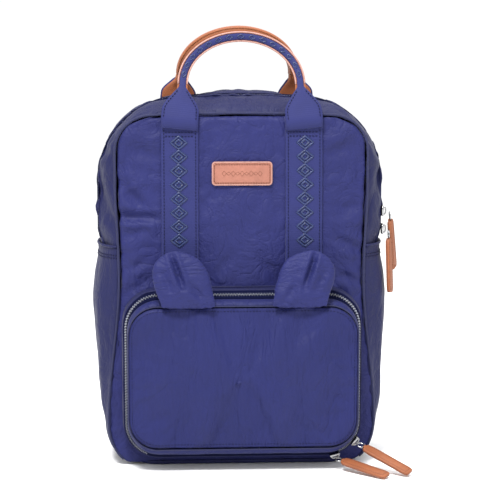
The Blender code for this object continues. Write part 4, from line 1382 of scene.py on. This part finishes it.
def make_hardware():
    # Each main slider's height, its pull's x and shift from the zip's middle in mm, and where the pull aims
    pulls = {"upper": (262, 157.5, 1.5, (0.13, 0.30, -1)), "lower": (243, 156.2, -1.5, (0.02, -0.12, -1))}
    for name, (z, x, shift, aim) in pulls.items():
        at = Vector((side_x(ZIP_SPLIT_Y, (z + 6) * MM) + 0.6 * MM, ZIP_SPLIT_Y, z * MM))
        make_slider(f"main_slider_{name}", frame_matrix(at, (1, 0, 0), (0, 0, 1)))
        pivot = (x * MM, ZIP_SPLIT_Y + shift * MM, (z - 2) * MM)
        make_pull(f"main_pull_{name}", pivot, aim, (1, 0, 0), (0.90, -0.44, 0))
    corner = Vector((86 * MM, POCKET_SPLIT_Y, 49 * MM))
    for name, degrees, aim in (("side", -35, (43, -31, -19.5)), ("bottom", -75, (46, -43, -7.5))):
        a = math.radians(degrees)
        out = Vector((math.cos(a), 0, math.sin(a)))
        at = corner + out * 35 * MM
        make_slider(f"pocket_slider_{name}", frame_matrix(at + out * 0.6 * MM, out, (-out.z, 0, out.x)))
        make_pull(f"pocket_pull_{name}", at + out * 4.6 * MM - FORWARD * 5.6 * MM, aim, (0.2, -0.5, 1))


# ------------------------------------------------------------------ sides, bottom and back


def sewn_gap(y):
    return min(SEW_REAR_Y - y, y - SEW_FRONT_Y)


def side_pocket_point(side, y, z):
    """On the side pocket: sewn to the bag at both edges and at its foot, and standing off it in between."""
    body = side_x(y, z)
    full = smooth(40 * MM, 70 * MM, z) * (1 - smooth(160 * MM, 205 * MM, z))
    free = side_x(y, z, POCKET_SIDE) + (1.6 + 4.2 * full) * MM
    loose = smooth(0, 16 * MM, sewn_gap(y)) * (1 - 0.7 * smooth(196 * MM, HEM_Z - 3 * MM, z))
    return Vector((side * (body + 0.7 * MM + (free - body) * loose), y, z))


def make_side_pockets():
    def bulge(p):
        return 1.4 * MM * (wrinkle(p, 24, (1, 1.3, 0.8)) - 0.35) * smooth(0, 10 * MM, sewn_gap(p.y))

    for side, word in ((1, "right"), (-1, "left")):
        grid = []
        for y in spread(SEW_REAR_Y, SEW_FRONT_Y, 26):
            line = [side_pocket_point(side, y, z) for z in spread(11 * MM, HEM_Z - 3 * MM, 44)]
            grid.append(line if side > 0 else list(reversed(line)))
        obj = grid_object(f"side_pocket_{word}_cloth", grid, "shaded_side_cloth")
        displace(obj, bulge)
        thicken(obj, CLOTH * 0.9, 1)
        surface = Surface(obj)
        finish(obj, "bag", "navy_cloth", (f"side_pocket_{word}",))
        hem = [side_pocket_point(side, y, HEM_Z - 3 * MM) for y in spread(SEW_FRONT_Y, SEW_REAR_Y, 36)]
        finish(tube(f"side_pocket_hem_{word}", hem, 1.5 * MM, "shaded_side_cloth", lean=UP), "bag", "navy_cloth")
        out = ACROSS * side
        for low in (9, 12):
            line = [p + out * 12 * MM - UP * low * MM for p in hem]
            sewn_row(f"hem_stitches_{word}_{low}", surface, line, -out, "bag", "navy_cloth")


def make_bottom():
    ring = ring_outline(110 * MM, -51 * MM, 51 * MM, 20 * MM, 8, 14)
    rings = []
    for inset, z in ((0, 4.6), (0, 2.2), (0.6, 0.9), (2.0, 0.2), (6.0, 0.05)):
        scale_x, scale_y = (110 - inset) / 110, (51 - inset) / 51
        rings.append([Vector((x * scale_x, y * scale_y, z * MM)) for x, y in ring])
    obj = grid_object("bottom_cloth", [list(reversed(r)) for r in rings], "shaded_side_cloth", ring=True)
    bm = bmesh.new()
    bm.from_mesh(obj.data)
    bmesh.ops.holes_fill(bm, edges=[e for e in bm.edges if e.is_boundary])
    bmesh.ops.recalc_face_normals(bm, faces=bm.faces)
    bm.to_mesh(obj.data)
    bm.free()
    finish(obj, "bag", "navy_cloth", ("bottom_panel",))


def make_back():
    """The padded back: three soft pads of spacer mesh with channels between them."""
    columns, rows = 50, 70
    grid = []
    for z in spread(8 * MM, 371.5 * MM, rows):
        half = BACK.cornered_half(z)
        grid.append([Vector((-s * half, 56.0 * MM, z)) for s in spread(-1, 1, columns)])
    obj = grid_object("back_panel_mesh", grid, "mesh")

    def pads(p):
        half = BACK.cornered_half(min(p.z, 370 * MM))
        edge = min(half - abs(p.x), p.z - 8 * MM, 371 * MM - p.z)
        total = -4.2 * MM * (1 - smooth(0, 12 * MM, edge))
        for place in (-45 * MM, 45 * MM):
            total -= 3.0 * MM * bell(p.x - place, 5 * MM) * smooth(10 * MM, 26 * MM, edge)
        for height in (96 * MM, 236 * MM):
            total -= 2.2 * MM * bell(p.z - height, 5 * MM) * smooth(10 * MM, 26 * MM, edge)
        return total + 0.7 * MM * (wrinkle(p, 18) - 0.3) + 2.0 * MM

    displace(obj, pads)
    thicken(obj, 2.2 * MM, 1)
    finish(obj, "bag", "back_mesh", ("back_panel", "back_foam"))


STRAP_BACK = BACK_Y + 9.4 * MM  # where the straps lie on the back
# Where each right strap's middle goes, as (across, up, away from the back), and half its width there, in mm
PAD_ROUTE = ((46, 344, 7), (50, 318, 11), (60, 270, 17), (73, 220, 20), (84, 175, 18), (92, 132, 12))
PAD_HALVES = (27, 29, 29, 27, 24, 20)
BELT_ROUTE = ((98, 90, 7), (101, 72, 5), (105, 50, 2.4), (108, 30, 1.0))


def strap_place(side, across, up, away):
    return Vector((side * across * MM, STRAP_BACK + away * MM, up * MM))


def smooth_route(route, steps):
    """Points on a smooth curve through a route but its last, each with its leg and how far along it."""
    for k in range(len(route) - 1):
        a, b = route[k], route[k + 1]
        before, after = route[max(k - 1, 0)], route[min(k + 2, len(route) - 1)]
        for t in spread(0, 1, steps + 1)[:-1]:
            p = []
            for u, v, w, x in zip(before, a, b, after):
                p.append(0.5 * (2 * v + (w - u) * t + (2 * u - 5 * v + 4 * w - x) * t * t
                                + (3 * v - u - 3 * w + x) * t**3))
            yield k, t, p


def soft_patch(name, outline, low, high, rounding, node):
    """A flat patch of cloth on the back, between two depths in mm, with rounded edges."""
    rings = [[strap_place(1, x, z, y) for x, z in outline] for y in (low, high)]
    obj = lofted(name, rings, "shaded_side_cloth")
    obj.modifiers.new("soft", "BEVEL").width = rounding
    freeze(obj)
    finish(obj, "bag", "navy_cloth", (node,))


def make_pad(side, word):
    centres, widths = [], []
    for k, t, p in smooth_route(PAD_ROUTE, 8):
        centres.append(strap_place(side, *p))
        widths.append((PAD_HALVES[k] + (PAD_HALVES[k + 1] - PAD_HALVES[k]) * t) * MM)
    centres.append(strap_place(side, *PAD_ROUTE[-1]))
    widths.append(PAD_HALVES[-1] * MM)
    sides, fronts = path_frames(centres, FORWARD)
    last = len(centres) - 1
    halves = [w * (0.86 + 0.14 * smooth(0, 4, min(i, last - i))) for i, w in enumerate(widths)]

    def section(i):
        deep = 5 * MM * (0.45 + 0.55 * smooth(0, 5, min(i, last - i)))
        return squared_round(halves[i], deep, 0.55, 0.75, 28)

    pad = sweep(f"shoulder_pad_{word}_cloth", centres, sides, fronts, section, "shaded_side_cloth")
    displace(pad, lambda p: 0.6 * MM * (wrinkle(p, 30) - 0.3))
    body = f"shoulder_strap_{word}"
    finish(pad, body, "navy_cloth", (f"shoulder_pad_{word}",))
    for edge, letter in ((-1, "a"), (1, "b")):
        rim = [c + s * edge * h for c, s, h in zip(centres, sides, halves)]
        finish(tube(f"pad_binding_{word}_{letter}", rim, 1.6 * MM, "webbing"), body, "webbing")
    band = [c + f * 4.9 * MM for c, f in zip(centres[8:], fronts[8:])]
    section = flat_section(12.5 * MM, 0, 1.2 * MM)
    finish(sweep(f"pad_webbing_{word}", band, sides[8:], fronts[8:], section, "webbing"), body, "webbing")


def make_ladder_lock(side, word):
    """Two rails and three bars."""
    body, reach = f"shoulder_strap_{word}", 14.4 * MM
    path = [strap_place(side, 95 + 3 * t, 117 - 22 * t, 10 - 2 * t) for t in spread(0, 1, 5)]
    sides, fronts = path_frames(path, FORWARD)
    right = [(2.2 * MM, -0.4 * MM), (2.6 * MM, 1.6 * MM), (2.2 * MM, 3.6 * MM)]
    outline = right + [(-a, b) for a, b in reversed(right)]
    for sign, letter in ((-1, "a"), (1, "b")):
        rail = [p + s * sign * reach for p, s in zip(path, sides)]
        made = sweep(f"ladder_rail_{word}_{letter}", rail, sides, fronts, lambda i: outline, "plastic")
        finish(made, body, "buckle", (f"ladder_lock_{word}",) if sign < 0 else ())
    for k, name in ((0, "top"), (2, "middle"), (4, "low")):
        ends = [path[k] + sides[k] * t + fronts[k] * 1.8 * MM for t in (-reach, 0, reach)]
        finish(tube(f"ladder_bar_{word}_{name}", ends, 1.7 * MM, "plastic"), body, "buckle")


def make_shoulder_straps():
    for side, word in ((1, "right"), (-1, "left")):
        make_pad(side, word)
        make_ladder_lock(side, word)
        belt = []
        for a, b in zip(BELT_ROUTE, BELT_ROUTE[1:]):
            for t in spread(0, 1, 5)[:-1]:
                belt.append(strap_place(side, *(u + (v - u) * t for u, v in zip(a, b))))
        belt.append(strap_place(side, *BELT_ROUTE[-1]))
        sides, fronts = path_frames(belt, FORWARD)
        section = flat_section(12.5 * MM, -0.6 * MM, 0.8 * MM)
        made = sweep(f"lower_webbing_{word}", belt, sides, fronts, section, "webbing")
        finish(made, "bag", "webbing", (f"strap_webbing_{word}",))
        outline = [(side * x, z) for x, z in ((92, 12), (118, 20), (121, 46), (108, 48), (90, 30))]
        soft_patch(f"anchor_{word}", outline, -2.0, 1.6, 1.2 * MM, f"strap_anchor_{word}")
    outline = [(-78, 340), (78, 340), (74, 358), (40, 361), (-40, 361), (-74, 358)]
    soft_patch("yoke_cloth", outline, -1.0, 2.2, 1.5 * MM, "strap_yoke")


def dress_inside():
    """Solids that keep their shape and only need a better material."""
    for node, look in (("back_lining", "lining"), ("tablet_sleeve", "lining"), ("base_board", "stiffener")):
        obj = bpy.data.objects[node]
        for slot in obj.material_slots:
            slot.material = LOOKS[look]


# ------------------------------------------------------------------ everything together

make_stage()
PANEL = make_front_panel()
make_gussets()
make_piping()
make_main_zip()
make_pocket_gusset()
make_pocket_zip()
make_pocket_face(make_pocket_rim())
make_ears()
make_front_straps(PANEL)
make_handles()
make_label()
make_hardware()
make_side_pockets()
make_bottom()
make_back()
make_shoulder_straps()
dress_inside()
